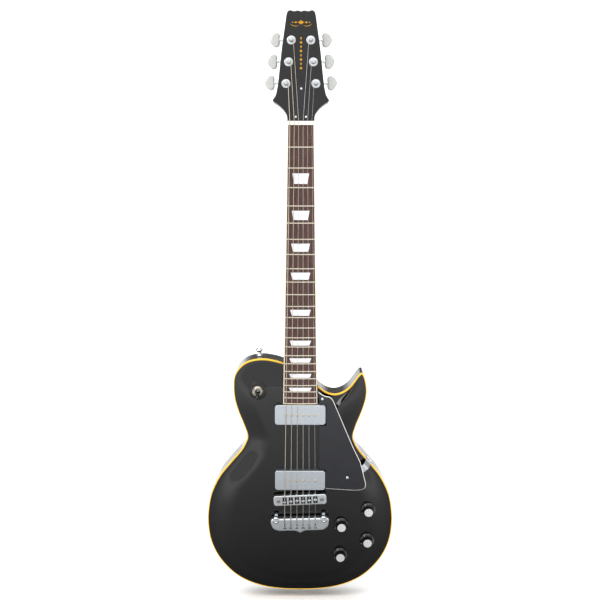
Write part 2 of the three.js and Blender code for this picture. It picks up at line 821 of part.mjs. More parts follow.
function bodySolid() {
  const lip = BINDING_WIDTH + GAP;
  const rings = [
    carveRing(1, 0),
    carveRing(0.66, lip),
    carveRing(0.4, lip),
    carveRing(0.16, lip),
    rimRing(lip, 0),
    rimRing(lip, BINDING_HEIGHT + GAP),
    rimRing(0, BINDING_HEIGHT + GAP),
    rimRing(0, RIM - BACK_ROUND),
    drawnRing(BACK_ROUND * 0.3, RIM - BACK_ROUND * 0.3),
    drawnRing(BACK_ROUND, RIM),
  ];
  let body = solid(loft(rings, ["x", "z"]));

  const half = NECK_BLOCK_HALF;
  const first = BRIDGE_Z + JOINT_HEIGHT;
  const last = RIM_LINE.at(-1).z;
  const block = plate(
    shapeOf([
      [-half, first],
      [-half, last - 30],
      [half, last - 30],
      [half, last + 2],
      [half - 1.5, first],
    ]),
    -ARCH,
    RIM,
  );
  body = join(body, solid(block));
  body = cut(body, solid(boardRoom()), solid(tenonRoom()));

  for (const { station } of [NECK_PICKUP, BRIDGE_PICKUP]) {
    const pocket = roundedRect(
      COVER.width + 2 * GAP,
      COVER.length + 2 * GAP,
      COVER.round + GAP,
      0,
      stationZ(station),
    );
    body = cut(body, solid(plate(pocket, -40, TOP_Y + POCKET_DEPTH, 3)));
  }

  body = cut(
    body,
    solid(plate(controlCavityShape(0), TOP_Y + TOP_WOOD, RIM + 5)),
    solid(plate(controlCavityShape(COVER_LEDGE + GAP), RIM - COVER_PLATE - GAP, RIM + 5)),
  );
  for (const { x, h } of KNOBS) {
    const z = BRIDGE_Z + h;
    body = cut(body, solid(rod([x, -20, z], [x, 10, z], POT_SHAFT_RADIUS + 1 + 1.5 * GAP, 10)));
  }

  const tz = BRIDGE_Z + TOGGLE.h;
  const switchHole = rod([TOGGLE.x, -30, tz], [TOGGLE.x, 10, tz], 6 + 1.5 * GAP, 14);
  const switchRoom = rod(
    [TOGGLE.x, TOP_Y + TOP_WOOD, tz],
    [TOGGLE.x, RIM + 5, tz],
    SWITCH_CAVITY_RADIUS,
    24,
  );
  const switchLedge = rod(
    [TOGGLE.x, RIM - COVER_PLATE - GAP, tz],
    [TOGGLE.x, RIM + 5, tz],
    SWITCH_CAVITY_RADIUS + COVER_LEDGE + GAP,
    24,
  );
  body = cut(body, solid(switchHole), solid(switchRoom), solid(switchLedge));

  for (const side of [-1, 1]) {
    const post = bridgePostPlace(side);
    const stud = studPlace(side);
    body = cut(
      body,
      solid(rod([post.x, -30, post.z], [post.x, 16, post.z], BRIDGE_POST_RADIUS + 1.5 * GAP, 12)),
      solid(rod([stud.x, -30, stud.z], [stud.x, 16, stud.z], STUD_RADIUS + 1.5 * GAP, 12)),
    );
  }

  body = cut(body, solid(jackSeat()), solid(jackHole()));
  for (const { foot, out } of [upperStrap(), endStrap()]) {
    const inside = foot.clone().addScaledVector(out, -16);
    const outside = foot.clone().addScaledVector(out, 6);
    body = cut(body, solid(rod(inside.toArray(), outside.toArray(), 1.8 + GAP, 10)));
  }
  return body;
}

const NECK_BLOCK_HALF = boardHalf(JOINT_STATION) - 0.6;

function bindingSolid() {
  const rings = RIM_LINE.map((p, i) => {
    const inner = p.clone().addScaledVector(INWARD[i], BINDING_WIDTH);
    return [
      p.clone().setY(0),
      inner.clone().setY(0),
      inner.clone().setY(BINDING_HEIGHT),
      p.clone().setY(BINDING_HEIGHT),
    ];
  });
  rings.reverse();
  return solid(loft(rings, ["x", "y"]));
}

// ---- Rim hardware
const RIM_MIDDLE = (RIM + BINDING_HEIGHT) / 2;

// The place on the fine rim line that scores lowest, half way down the rim, and the way out of the body there.
function rimPlace(score) {
  const scores = RIM_EDGE.map(score);
  const i = THREE.MathUtils.clamp(scores.indexOf(Math.min(...scores)), 1, RIM_EDGE.length - 2);
  const along = RIM_EDGE[i + 1].clone().sub(RIM_EDGE[i - 1]).normalize();
  const out = new THREE.Vector3(along.z, 0, -along.x);
  const centre = new THREE.Vector3(0, 0, BRIDGE_Z).sub(RIM_EDGE[i]);
  if (out.dot(centre) > 0) out.negate();
  return { foot: RIM_EDGE[i].clone().setY(RIM_MIDDLE), out };
}

const upperStrap = () =>
  rimPlace((p) => Math.abs(p.x - UPPER_STRAP_X) + (p.z < BRIDGE_Z + JOINT_HEIGHT / 2 ? 1e3 : 0));
const endStrap = () => rimPlace((p) => Math.abs(p.x) + (p.z > BRIDGE_Z ? 1e3 : 0));

function strapButton({ foot, out }) {
  const start = foot.clone().addScaledVector(out, GAP);
  const profile = [
    [0, -15],
    [1.8, -15],
    [1.8, 0],
    [STRAP.base, 0],
    [STRAP.base, 1.4],
    [STRAP.neck, 3.2],
    [STRAP.neck, STRAP.length - 4.6],
    [STRAP.head, STRAP.length - 3],
    [STRAP.head, STRAP.length - 1],
    [STRAP.head - 1.2, STRAP.length],
    [0, STRAP.length],
  ];
  return solid(turned(profile, start.toArray(), out.toArray(), 12));
}

// The jack sits square to the rim at the turn angle below +X, facing outwards.
const JACK_OUT = new THREE.Vector3(
  Math.cos(THREE.MathUtils.degToRad(JACK.turn)),
  0,
  Math.sin(THREE.MathUtils.degToRad(JACK.turn)),
);

function jackFoot() {
  const { foot } = rimPlace((p) => -p.clone().setY(0).dot(JACK_OUT));
  return foot.addScaledVector(JACK_OUT, -1.6);
}

function jackFrame() {
  const z = new THREE.Vector3(0, 1, 0);
  const x = JACK_OUT.clone();
  const y = z.clone().cross(x);
  return new THREE.Matrix4().makeBasis(x, y, z).setPosition(jackFoot());
}

function jackSeat() {
  const size = JACK.plate + 2 * GAP;
  const geometry = box(10, size, size, 5, 0, 0);
  return placed(geometry, jackFrame());
}

function jackHole() {
  return placed(rod([-45, 0, 0], [2, 0, 0], JACK.barrel + GAP, 18), jackFrame());
}

function outputJackSolid() {
  const flange = box(JACK.plateThick, JACK.plate, JACK.plate, GAP + JACK.plateThick / 2, 0, 0);
  const barrel = rod([-JACK.depth, 0, 0], [GAP + 1, 0, 0], JACK.barrel, 18);
  const collar = rod([GAP + 1, 0, 0], [GAP + 4, 0, 0], 6.5, 6);
  const bore = rod([-JACK.depth + 2, 0, 0], [GAP + 10, 0, 0], JACK.bore, 14);
  const made = cut(join(solid(flange), solid(barrel), solid(collar)), solid(bore));
  return made.transform(jackFrame().elements);
}

// ---- Covers and plates
function controlCoverSolid() {
  return solid(plate(controlCavityShape(COVER_LEDGE), RIM - COVER_PLATE, RIM));
}

function switchCoverSolid() {
  const z = BRIDGE_Z + TOGGLE.h;
  const radius = SWITCH_CAVITY_RADIUS + COVER_LEDGE;
  return solid(rod([TOGGLE.x, RIM - COVER_PLATE, z], [TOGGLE.x, RIM, z], radius, 24));
}

function pickguardSolid() {
  const back = TOP_Y - GUARD.clear;
  const h = (value) => BRIDGE_Z + value;
  const neckLow = stationZ(NECK_PICKUP.station) - COVER.length / 2 - 1;
  const neckHigh = stationZ(NECK_PICKUP.station) + COVER.length / 2 + 1;
  const bridgeLow = stationZ(BRIDGE_PICKUP.station) - COVER.length / 2 - 1;
  const bridgeHigh = stationZ(BRIDGE_PICKUP.station) + COVER.length / 2 + 1;
  const edge = COVER.width / 2 + 1;
  const inner = 32;
  const shape = new THREE.Shape();
  const upper = (value) => stationZ(NECK_PICKUP.station) + value;
  shape.moveTo(30.6, upper(41));
  shape.lineTo(inner, neckHigh);
  shape.lineTo(edge, neckHigh);
  shape.lineTo(edge, neckLow);
  shape.lineTo(inner, neckLow);
  shape.lineTo(inner, bridgeHigh);
  shape.lineTo(edge, bridgeHigh);
  shape.lineTo(edge, Math.max(bridgeLow, h(15)));
  shape.lineTo(edge + 1, h(14));
  shape.lineTo(93.7, h(11.1));
  shape.lineTo(105, h(12));
  shape.quadraticCurveTo(112.5, h(13), 112.8, h(22));
  shape.quadraticCurveTo(112.5, h(40), 102.8, h(62.3));
  shape.lineTo(90.3, h(88.8));
  shape.lineTo(55.2, upper(26.6));
  shape.quadraticCurveTo(52, upper(32.4), 47, upper(32.9));
  shape.lineTo(42.3, upper(33.3));
  shape.closePath();
  return solid(plate(shape, back - GUARD.thick, back, 4));
}

// ---- Pickups
function pickupCoverSolid({ station, rise }) {
  const z = stationZ(station);
  const front = TOP_Y - rise;
  const back = TOP_Y + POCKET_DEPTH - 6;
  const outer = plate(roundedRect(COVER.width, COVER.length, COVER.round, 0, z), front, back, 3);
  const inner = plate(
    roundedRect(
      COVER.width - 2 * COVER.wall,
      COVER.length - 2 * COVER.wall,
      COVER.round - COVER.wall,
      0,
      z,
    ),
    front + COVER.wall,
    back + 5,
    3,
  );
  return cut(solid(outer), solid(inner));
}

function pickupCoilSolid({ station, rise }) {
  const z = stationZ(station);
  const front = TOP_Y - rise + COVER.wall + GAP;
  const back = TOP_Y + POCKET_DEPTH - GAP;
  const size = 2 * (COVER.wall + GAP);
  const shape = roundedRect(
    COVER.width - size,
    COVER.length - size,
    COVER.round - COVER.wall - GAP,
    0,
    z,
  );
  return solid(plate(shape, front, back, 3));
}

// ---- Bridge
function bridgePostPlace(side) {
  const slant = THREE.MathUtils.degToRad(BRIDGE.slant);
  const half = (side * BRIDGE.posts) / 2;
  return new THREE.Vector3(
    half * Math.cos(slant),
    0,
    BRIDGE_Z + BRIDGE.h + half * Math.sin(slant),
  );
}

const BRIDGE_BACK = TOP_Y - BRIDGE.clear;
const BRIDGE_FRONT = BRIDGE_BACK - BRIDGE.height;

// The bridge's own frame: X along the bar, Z up the body, at the bar's middle.
function slantFrame({ slant, h }) {
  return new THREE.Matrix4()
    .makeRotationY(-THREE.MathUtils.degToRad(slant))
    .setPosition(0, 0, BRIDGE_Z + h);
}

function bridgeSolid() {
  let block = solid(plate(roundedRect(BRIDGE.width, BRIDGE.length, 5), BRIDGE_FRONT, BRIDGE_BACK, 4));
  for (let i = 0; i < 6; i++) {
    const x = stringX(i, BRIDGE_SPAN) / Math.cos(THREE.MathUtils.degToRad(BRIDGE.slant));
    const room = box(
      SADDLE.width + 2 * GAP,
      SADDLE.height + GAP,
      2 * SADDLE.travel + SADDLE.length + 2 * GAP,
      x,
      BRIDGE_FRONT + (SADDLE.height + GAP) / 2 - 0.01,
      0,
    );
    block = cut(block, solid(room));
  }
  for (const side of [-1, 1]) {
    const x = (side * BRIDGE.posts) / 2;
    const hole = rod([x, -60, 0], [x, 0, 0], BRIDGE_POST_RADIUS + GAP, 14);
    block = cut(block, solid(hole));
  }
  return block.transform(slantFrame(BRIDGE).elements);
}

function saddleSolid(i) {
  const slant = THREE.MathUtils.degToRad(BRIDGE.slant);
  const x = stringX(i, BRIDGE_SPAN) / Math.cos(slant);
  const half = SADDLE.length / 2;
  const floor = BRIDGE_FRONT + SADDLE.height - GAP;
  const crest = STRING_Y + 0.2;
  let block = solid(
    bar(
      [
        [floor, -half],
        [floor, half],
        [BRIDGE_FRONT - 0.4, half],
        [crest, 0.6],
        [crest, -0.6],
        [BRIDGE_FRONT - 0.4, -half],
      ],
      x - SADDLE.width / 2,
      x + SADDLE.width / 2,
    ),
  );
  const radius = STRING_RADII[i];
  const notchDepth = 0.9;
  const notch = box(
    2 * (radius + GAP) + 0.3,
    4,
    SADDLE.length + 2,
    x,
    STRING_Y + radius + notchDepth - 2,
    0,
  );
  block = cut(block, solid(notch));
  const frame = slantFrame(BRIDGE).multiply(
    new THREE.Matrix4().makeTranslation(0, 0, SADDLE_REST[i]),
  );
  return block.transform(frame.elements);
}

function bridgePostSolid(side) {
  const place = bridgePostPlace(side);
  const profile = [
    [0, BRIDGE_FRONT - 0.2],
    [BRIDGE_POST_RADIUS - 0.3, BRIDGE_FRONT - 0.2],
    [BRIDGE_POST_RADIUS, BRIDGE_FRONT + 0.3],
    [BRIDGE_POST_RADIUS, BRIDGE_BACK + GAP],
    [7.5, BRIDGE_BACK + GAP],
    [7.5, BRIDGE_BACK + GAP + 2.2],
    [BRIDGE_POST_RADIUS, BRIDGE_BACK + GAP + 2.2],
    [BRIDGE_POST_RADIUS, 14],
    [0, 14],
  ];
  return solid(turned(profile, [place.x, 0, place.z], [0, 1, 0], 12));
}

// ---- Tailpiece
const TAIL_BACK = TOP_Y - TAIL.clear;
const TAIL_FRONT = TAIL_BACK - TAIL.height;
const TAIL_STRING_Y = TAIL_FRONT + 4;

function studPlace(side) {
  const slant = THREE.MathUtils.degToRad(TAIL.slant);
  const half = (side * TAIL.studs) / 2;
  return new THREE.Vector3(
    half * Math.cos(slant) - STUD_UP * Math.sin(slant),
    0,
    BRIDGE_Z + TAIL.h + half * Math.sin(slant) + STUD_UP * Math.cos(slant),
  );
}

function tailpieceShape() {
  const half = TAIL.width / 2;
  const top = TAIL.length / 2;
  const low = -TAIL.length / 2;
  const shape = new THREE.Shape();
  shape.moveTo(-half + 8, top);
  shape.quadraticCurveTo(-half, top, -half, top - 7);
  shape.bezierCurveTo(-half, low + 5, -half + 6, low, -half + 16, low);
  shape.lineTo(-7, low);
  shape.quadraticCurveTo(-3, low, 0, low - 3);
  shape.quadraticCurveTo(3, low, 7, low);
  shape.lineTo(half - 16, low);
  shape.bezierCurveTo(half - 6, low, half, low + 5, half, top - 7);
  shape.quadraticCurveTo(half, top, half - 8, top);
  shape.closePath();
  return shape;
}

function tailpieceSolid() {
  let block = solid(plate(tailpieceShape(), TAIL_FRONT, TAIL_BACK, 5));
  for (let i = 0; i < 6; i++) {
    const x = stringX(i, BRIDGE_SPAN) / Math.cos(THREE.MathUtils.degToRad(TAIL.slant));
    const low = -TAIL.length / 2 + 6;
    const slot = box(2, 6, TAIL.length, x, TAIL_FRONT + 2.9, low + TAIL.length / 2);
    const seat = box(5.6, 6, 2.2, x, TAIL_FRONT + 2.9, low + 0.4);
    block = cut(block, solid(slot), solid(seat));
  }
  for (const side of [-1, 1]) {
    const x = (side * TAIL.studs) / 2;
    const hole = rod([x, -60, STUD_UP], [x, 0, STUD_UP], STUD_RADIUS - 2 + GAP, 16);
    const headRoom = rod([x, -60, STUD_UP], [x, TAIL_FRONT + 3, STUD_UP], STUD_RADIUS + GAP, 16);
    const neckWidth = 2 * (STUD_RADIUS - 2 + GAP);
    const headWidth = 2 * (STUD_RADIUS + GAP);
    const fork = box(neckWidth, 60, 20, x, -30, STUD_UP + 10);
    const forkRoom = box(headWidth, 60 + TAIL_FRONT + 3, 20, x, (TAIL_FRONT + 3 - 60) / 2, STUD_UP + 10);
    block = cut(block, solid(hole), solid(headRoom), solid(fork), solid(forkRoom));
  }
  return block.transform(slantFrame(TAIL).elements);
}

function studSolid(side) {
  const place = studPlace(side);
  const profile = [
    [0, TAIL_FRONT - 0.8],
    [STUD_RADIUS - 0.6, TAIL_FRONT - 0.8],
    [STUD_RADIUS, TAIL_FRONT],
    [STUD_RADIUS, TAIL_FRONT + 3 - GAP],
    [STUD_RADIUS - 2, TAIL_FRONT + 3 - GAP],
    [STUD_RADIUS - 2, TAIL_BACK + GAP],
    [STUD_RADIUS, TAIL_BACK + GAP],
    [STUD_RADIUS, 14],
    [0, 14],
  ];
  return solid(turned(profile, [place.x, 0, place.z], [0, 1, 0], 12));
}

// ---- Controls
function potPlateSolid() {
  const y = TOP_Y + TOP_WOOD + GAP;
  const xs = KNOBS.map(({ x }) => x);
  const hs = KNOBS.map(({ h }) => h);
  const left = Math.min(...xs) - 8;
  const right = Math.max(...xs) + 8;
  const low = Math.min(...hs) - 6;
  const high = Math.max(...hs) + 8;
  const sheet = shapeOf(
    [
      [left, low],
      [left + 20, low],
      [right, low + 28],
      [right, high],
      [right - 22, high],
      [left, high - 30],
    ].map(([x, h]) => [x, BRIDGE_Z + h]),
  );
  let made = solid(plate(sheet, y, y + 1.2));
  for (const { x, h } of KNOBS) {
    const z = BRIDGE_Z + h;
    made = join(
      made,
      solid(rod([x, y + 1, z], [x, y + 11, z], POT_RADIUS, 14)),
      solid(rod([x, TOP_Y + 1, z], [x, y + 1, z], POT_SHAFT_RADIUS + 1, 10)),
      solid(rod([x, TOP_Y - 11, z], [x, y + 1, z], POT_SHAFT_RADIUS, 10)),
    );
  }
  return made;
}

function knobSolid({ x, h }) {
  const z = BRIDGE_Z + h;
  const back = TOP_Y - KNOB.lift;
  const bore = POT_SHAFT_RADIUS + GAP;
  const profile = [
    [bore, back],
    [bore, TOP_Y - 11 - GAP],
    [0, TOP_Y - 11 - GAP],
    [0, back - KNOB.height],
    [KNOB.cap - 0.6, back - KNOB.height],
    [KNOB.cap, back - KNOB.height + 0.7],
    [KNOB.cap + 0.8, back - 4],
    [KNOB.skirt - 0.4, back - 1.8],
    [KNOB.skirt, back],
    [bore, back],
  ];
  return solid(turned(profile, [x, 0, z], [0, 1, 0], 16));
}

const TOGGLE_PIVOT_Y = TOP_Y - 1;

function toggleFrameSolid() {
  const z = BRIDGE_Z + TOGGLE.h;
  const x = TOGGLE.x;
  const profile = [
    [4.6, TOP_Y - 7],
    [TOGGLE.nut - 2.5, TOP_Y - 7],
    [TOGGLE.nut, TOP_Y - 4.6],
    [TOGGLE.nut, TOP_Y - 2],
    [TOGGLE.ring - 0.6, TOP_Y - 2],
    [TOGGLE.ring, TOP_Y - 1.5],
    [TOGGLE.ring, TOP_Y - GAP],
    [6, TOP_Y - GAP],
    [6, TOP_Y + TOP_WOOD + 1],
    [14, TOP_Y + TOP_WOOD + 1],
    [14, TOP_Y + TOP_WOOD + 3],
    [10, TOP_Y + TOP_WOOD + 3],
    [10, TOP_Y + TOP_WOOD + 22],
    [0, TOP_Y + TOP_WOOD + 22],
    [0, TOP_Y + TOP_WOOD],
    [4.6, TOP_Y + TOP_WOOD],
    [4.6, TOP_Y - 7],
  ];
  return solid(turned(profile, [x, 0, z], [0, 1, 0], 14));
}

function toggleLeverSolid() {
  const z = BRIDGE_Z + TOGGLE.h;
  const tilt = THREE.MathUtils.degToRad(TOGGLE.tilt);
  const profile = [
    [0, -9],
    [1.6, -9],
    [1.6, -3.4],
    [3.4, -1.6],
    [3.4, 1.6],
    [1.6, 3.4],
    [1.6, 10],
    [3.3, 11],
    [3.6, 21],
    [2.4, 24],
    [0, 24.8],
  ];
  const pivot = [TOGGLE.x, TOGGLE_PIVOT_Y, z];
  return solid(turned(profile, pivot, [0, -Math.cos(tilt), -Math.sin(tilt)], 10));
}

// ---- Assembly
const bodyGroup = new THREE.Group();
root.add(bodyGroup);

neckGroup.add(
  mesh("neck", neckSolid(), "blackLacquer"),
  mesh("fretboard", fretboardSolid(), "rosewood"),
  mesh("nut", nutSolid(), "bone"),
  mesh("truss_rod", trussRodSolid(), "steel"),
);
headGroup.add(mesh("truss_rod_cover", trussRodCoverSolid(), "blackPlastic"));
for (const site of postSites()) {
  headGroup.add(
    mesh("tuner_housing_" + site.name, tunerHousing(site), "chrome"),
    mesh("tuner_post_" + site.name, tunerPost(site), "chrome"),
    mesh("tuner_button_" + site.name, tunerButton(site), "pearl"),
  );
}

bodyGroup.add(
  mesh("body", bodySolid(), "blackLacquer"),
  mesh("body_binding", bindingSolid(), "amber"),
  mesh("control_cavity_cover", controlCoverSolid(), "blackPlastic"),
  mesh("switch_cavity_cover", switchCoverSolid(), "blackPlastic"),
  mesh("pickguard", pickguardSolid(), "guardPlastic"),
  mesh("neck_pickup_cover", pickupCoverSolid(NECK_PICKUP), "satinCover"),
  mesh("neck_pickup_coil", pickupCoilSolid(NECK_PICKUP), "coil"),
  mesh("bridge_pickup_cover", pickupCoverSolid(BRIDGE_PICKUP), "satinCover"),
  mesh("bridge_pickup_coil", pickupCoilSolid(BRIDGE_PICKUP), "coil"),
  mesh("bridge_body", bridgeSolid(), "chrome"),
  mesh("bridge_post_bass", bridgePostSolid(-1), "steel"),
  mesh("bridge_post_treble", bridgePostSolid(1), "steel"),
  mesh("tailpiece", tailpieceSolid(), "chrome"),
  mesh("tailpiece_stud_bass", studSolid(-1), "chrome"),
  mesh("tailpiece_stud_treble", studSolid(1), "chrome"),
  mesh("pot_plate", potPlateSolid(), "steel"),
  mesh("toggle_switch_frame", toggleFrameSolid(), "steel"),
  mesh("toggle_lever", toggleLeverSolid(), "blackPlastic"),
  mesh("output_jack", outputJackSolid(), "chrome"),
  mesh("strap_button_upper", strapButton(upperStrap()), "chrome"),
  mesh("strap_button_end", strapButton(endStrap()), "chrome"),
);
STRING_NAMES.forEach((name, i) => {
  bodyGroup.add(
    mesh("saddle_" + name, saddleSolid(i), "chrome"),
    mesh("string_" + name, stringSolid(i), "wire"),
  );
});
for (const knob of KNOBS) {
  bodyGroup.add(mesh("knob_" + knob.name, knobSolid(knob), "blackPlastic"));
}

export default root;
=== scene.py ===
"""Single-cutaway solid-body electric guitar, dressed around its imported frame.

Every size is in millimetres in the frame of the part: +Z runs up the neck, -Y is the playing side, +X is the
treble side, and the origin is on the crown of the fingerboard at the front edge of the nut.
"""

import logging
import math
from collections.abc import Callable, Sequence
from dataclasses import dataclass, field
from enum import Enum

import bmesh
import bpy
from mathutils import Matrix, Vector


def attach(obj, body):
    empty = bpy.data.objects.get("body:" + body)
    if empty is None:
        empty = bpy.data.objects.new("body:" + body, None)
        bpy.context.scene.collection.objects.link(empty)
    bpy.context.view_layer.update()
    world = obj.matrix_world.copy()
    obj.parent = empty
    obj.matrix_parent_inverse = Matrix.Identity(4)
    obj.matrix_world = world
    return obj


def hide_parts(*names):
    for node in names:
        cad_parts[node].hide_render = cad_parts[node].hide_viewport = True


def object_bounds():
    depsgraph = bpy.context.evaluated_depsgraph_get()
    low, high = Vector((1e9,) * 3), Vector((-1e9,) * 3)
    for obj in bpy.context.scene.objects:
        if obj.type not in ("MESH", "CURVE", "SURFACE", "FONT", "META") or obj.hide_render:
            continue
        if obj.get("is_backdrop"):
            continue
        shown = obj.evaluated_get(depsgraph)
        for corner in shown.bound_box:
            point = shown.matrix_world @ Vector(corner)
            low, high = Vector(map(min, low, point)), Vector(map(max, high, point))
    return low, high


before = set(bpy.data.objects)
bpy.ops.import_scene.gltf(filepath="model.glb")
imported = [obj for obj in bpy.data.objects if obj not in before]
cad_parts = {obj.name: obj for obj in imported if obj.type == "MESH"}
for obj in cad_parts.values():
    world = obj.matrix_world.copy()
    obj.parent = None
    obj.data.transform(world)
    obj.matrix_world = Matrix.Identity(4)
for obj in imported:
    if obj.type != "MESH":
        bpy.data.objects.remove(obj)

log = logging.getLogger("guitar")

MM = 0.001
GAP = 0.3
SCALE = 628.65
NECK_TILT = math.asin(21.94 / SCALE)
NECK = Matrix.Rotation(-NECK_TILT, 4, "X")
HEAD = NECK @ Matrix.Translation((0, 5.2, 6.6)) @ Matrix.Rotation(-math.radians(14), 4, "X")
NUT_ACTION = 1.9
BRIDGE_ACTION = 5.9
BRIDGE_POINT = NECK @ Vector((0, -BRIDGE_ACTION, -SCALE))
BRIDGE_Z = BRIDGE_POINT.z
STRING_Y = BRIDGE_POINT.y
ARCH = 10.0
TOP_Y = -ARCH
RIM = 43.0
BOARD_LENGTH = 463.0
NUT_WIDTH = 43.0
BOARD_END_WIDTH = 57.5
BOARD_THICK = 6.0
BOARD_RADIUS = 305.0
BRIDGE_SPAN = 52.4
NUT_SPAN = 35.2
STRING_RADII = (0.584, 0.457, 0.33, 0.216, 0.165, 0.127)
UPPER_BUTTON_X = -69.5
RULED_OUT = 1e3
STRING_NAMES = ("e2", "a2", "d3", "g3", "b3", "e4")


def station_z(station: float) -> float:
    """Returns the height in the frame of the string plane at a distance from the nut."""
    rise = NUT_ACTION + (BRIDGE_ACTION - NUT_ACTION) * station / SCALE
    return (NECK @ Vector((0, -rise, -station))).z


def board_half(station: float) -> float:
    """Returns half the fingerboard's width at a distance from the nut."""
    return (NUT_WIDTH + (BOARD_END_WIDTH - NUT_WIDTH) * station / BOARD_LENGTH) / 2


def string_x(index: int, span: float) -> float:
    """Returns the place across the strings of one string where they cover a span."""
    return (index / 5 - 0.5) * span


def fret_station(number: float) -> float:
    """Returns the distance of a fret from the nut."""
    return SCALE * (1 - 2 ** (-number / 12))


# ---------------------------------------------------------------------------------------------- finishes


def linear(code: str) -> tuple[float, float, float, float]:
    """Turns an sRGB hex colour into linear values.

    Args:
        code: the colour as six hex digits.

    Returns:
        The linear red, green and blue, and an alpha of 1.
    """
    values = [int(code[i : i + 2], 16) / 255 for i in (0, 2, 4)]
    r, g, b = (v / 12.92 if v <= 0.04045 else ((v + 0.055) / 1.055) ** 2.4 for v in values)
    return (r, g, b, 1.0)


def add_node(
    tree: bpy.types.NodeTree, kind: str, inputs: dict[str | int, object] | None = None, **settings: object
) -> bpy.types.Node:
    """Adds a node with its settings, values and links.

    Args:
        tree: the node tree.
        kind: the node's type name.
        inputs: each socket's value, or the output socket that it is linked to.
        **settings: the node's own properties.

    Returns:
        The node.
    """
    made = tree.nodes.new(kind)
    for key, value in settings.items():
        setattr(made, key, value)
    for key, value in (inputs or {}).items():
        socket = made.inputs[key]
        if isinstance(value, bpy.types.NodeSocket):
            tree.links.new(value, socket)
        else:
            socket.default_value = value
    return made


class Pattern(Enum):
    """How a finish varies over its surface."""

    CLOUD = "soft clouds, as in moulded plastic and polished metal"
    GRAIN = "fine lines up the guitar, as in brushed metal and extruded binding"
    WOOD = "streaks and open pores up the guitar"
    PEBBLE = "small even pits, as in blasted and plated metal"
    PEARL = "bright and dim flakes, as in pearloid"
    WRAP = "rings round a wound string"


@dataclass(frozen=True)
class Finish:
    """One real finish: what it is made of, and how its surface was made."""

    name: str
    slot: str
    base: str
    second: str
    metallic: float = 0.0
    roughness: float = 0.4
    ior: float = 1.5
    pattern: Pattern = Pattern.CLOUD
    grain: float = 4.0
    rough_span: float = 0.04
    bump: float = 0.02
    coat: float = 0.0

    def stretch(self) -> tuple[float, float, float]:
        """Returns the pattern's scale along each axis, in turns per metre of the grain."""
        fine = 1 / (self.grain * MM)
        if self.pattern in (Pattern.GRAIN, Pattern.WOOD):
            return (fine, fine, fine / 22)
        return (fine, fine, fine)

    def material(self) -> bpy.types.Material:
        """Returns the Blender material of this finish, made the first time it is asked for."""
        known = bpy.data.materials.get(self.name)
        if known:
            return known
        made = bpy.data.materials.new(self.name)
        made.use_nodes = True
        tree = made.node_tree
        tree.nodes.clear()
        place = add_node(tree, "ShaderNodeTexCoord").outputs["Object"]
        spread = add_node(
            tree, "ShaderNodeMapping", {"Vector": place, "Scale": self.stretch()}
        ).outputs["Vector"]
        value = self.field(tree, spread, place)
        colour = add_node(
            tree,
            "ShaderNodeMix",
            {0: value, 6: linear(self.base), 7: linear(self.second)},
            data_type="RGBA",
        ).outputs[2]
        rough = add_node(
            tree,
            "ShaderNodeMapRange",
            {
                "Value": value,
                "To Min": max(0.0, self.roughness - self.rough_span),
                "To Max": self.roughness + self.rough_span,
            },
        ).outputs["Result"]
        relief = add_node(
            tree, "ShaderNodeBump", {"Height": value, "Strength": 1.0, "Distance": self.bump * MM}
        ).outputs["Normal"]
        shader = add_node(
            tree,
            "ShaderNodeBsdfPrincipled",
            {
                "Base Color": colour,
                "Metallic": self.metallic,
                "Roughness": rough,
                "IOR": self.ior,
                "Normal": relief,
                "Coat Weight": self.coat,
                "Coat Roughness": 0.04,
            },
        ).outputs["BSDF"]
        add_node(tree, "ShaderNodeOutputMaterial", {"Surface": shader})
        made.diffuse_color = linear(self.base)
        return made

    def field(
        self, tree: bpy.types.NodeTree, spread: bpy.types.NodeSocket, place: bpy.types.NodeSocket
    ) -> bpy.types.NodeSocket:
        """Adds the texture that gives the pattern.

        Args:
            tree: the material's node tree.
            spread: the coordinates scaled to the grain.
            place: the coordinates in metres.

        Returns:
            A socket that runs from 0 to 1.
        """
        if self.pattern is Pattern.PEBBLE:
            return add_node(
                tree, "ShaderNodeTexVoronoi", {"Vector": spread, "Scale": 1.0}, feature="SMOOTH_F1"
            ).outputs["Distance"]
        if self.pattern is Pattern.PEARL:
            flakes = add_node(
                tree,
                "ShaderNodeTexNoise",
                {"Vector": spread, "Scale": 1.0, "Detail": 3.0, "Distortion": 2.2},
            ).outputs["Fac"]
            return self.contrast(tree, flakes, 0.38, 0.62)
        if self.pattern is Pattern.WRAP:
            return add_node(
                tree,
                "ShaderNodeTexWave",
                {"Vector": place, "Scale": math.pi / (10 * self.grain * MM)},
                bands_direction="Z",
            ).outputs["Fac"]
        fine = add_node(
            tree, "ShaderNodeTexNoise", {"Vector": spread, "Scale": 1.0, "Detail": 5.0}
        ).outputs["Fac"]
        if self.pattern is Pattern.WOOD:
            pores = add_node(
                tree,
                "ShaderNodeMapping",
                {"Vector": spread, "Scale": (3.0, 3.0, 2.0), "Location": (4.0, 7.0, 1.0)},
            ).outputs["Vector"]
            small = add_node(
                tree, "ShaderNodeTexNoise", {"Vector": pores, "Scale": 1.0, "Detail": 3.0}
            ).outputs["Fac"]
            both = add_node(
                tree, "ShaderNodeMix", {0: 0.55, 2: fine, 3: small}, data_type="FLOAT"
            ).outputs[0]
            return self.contrast(tree, both, 0.36, 0.64)
        return self.contrast(tree, fine, 0.3, 0.7)

    @staticmethod
    def contrast(
        tree: bpy.types.NodeTree, value: bpy.types.NodeSocket, low: float, high: float
    ) -> bpy.types.NodeSocket:
        """Adds a node that spreads the values between low and high over 0 to 1, and returns its socket."""
        return add_node(
            tree, "ShaderNodeMapRange", {"Value": value, "From Min": low, "From Max": high}
        ).outputs["Result"]


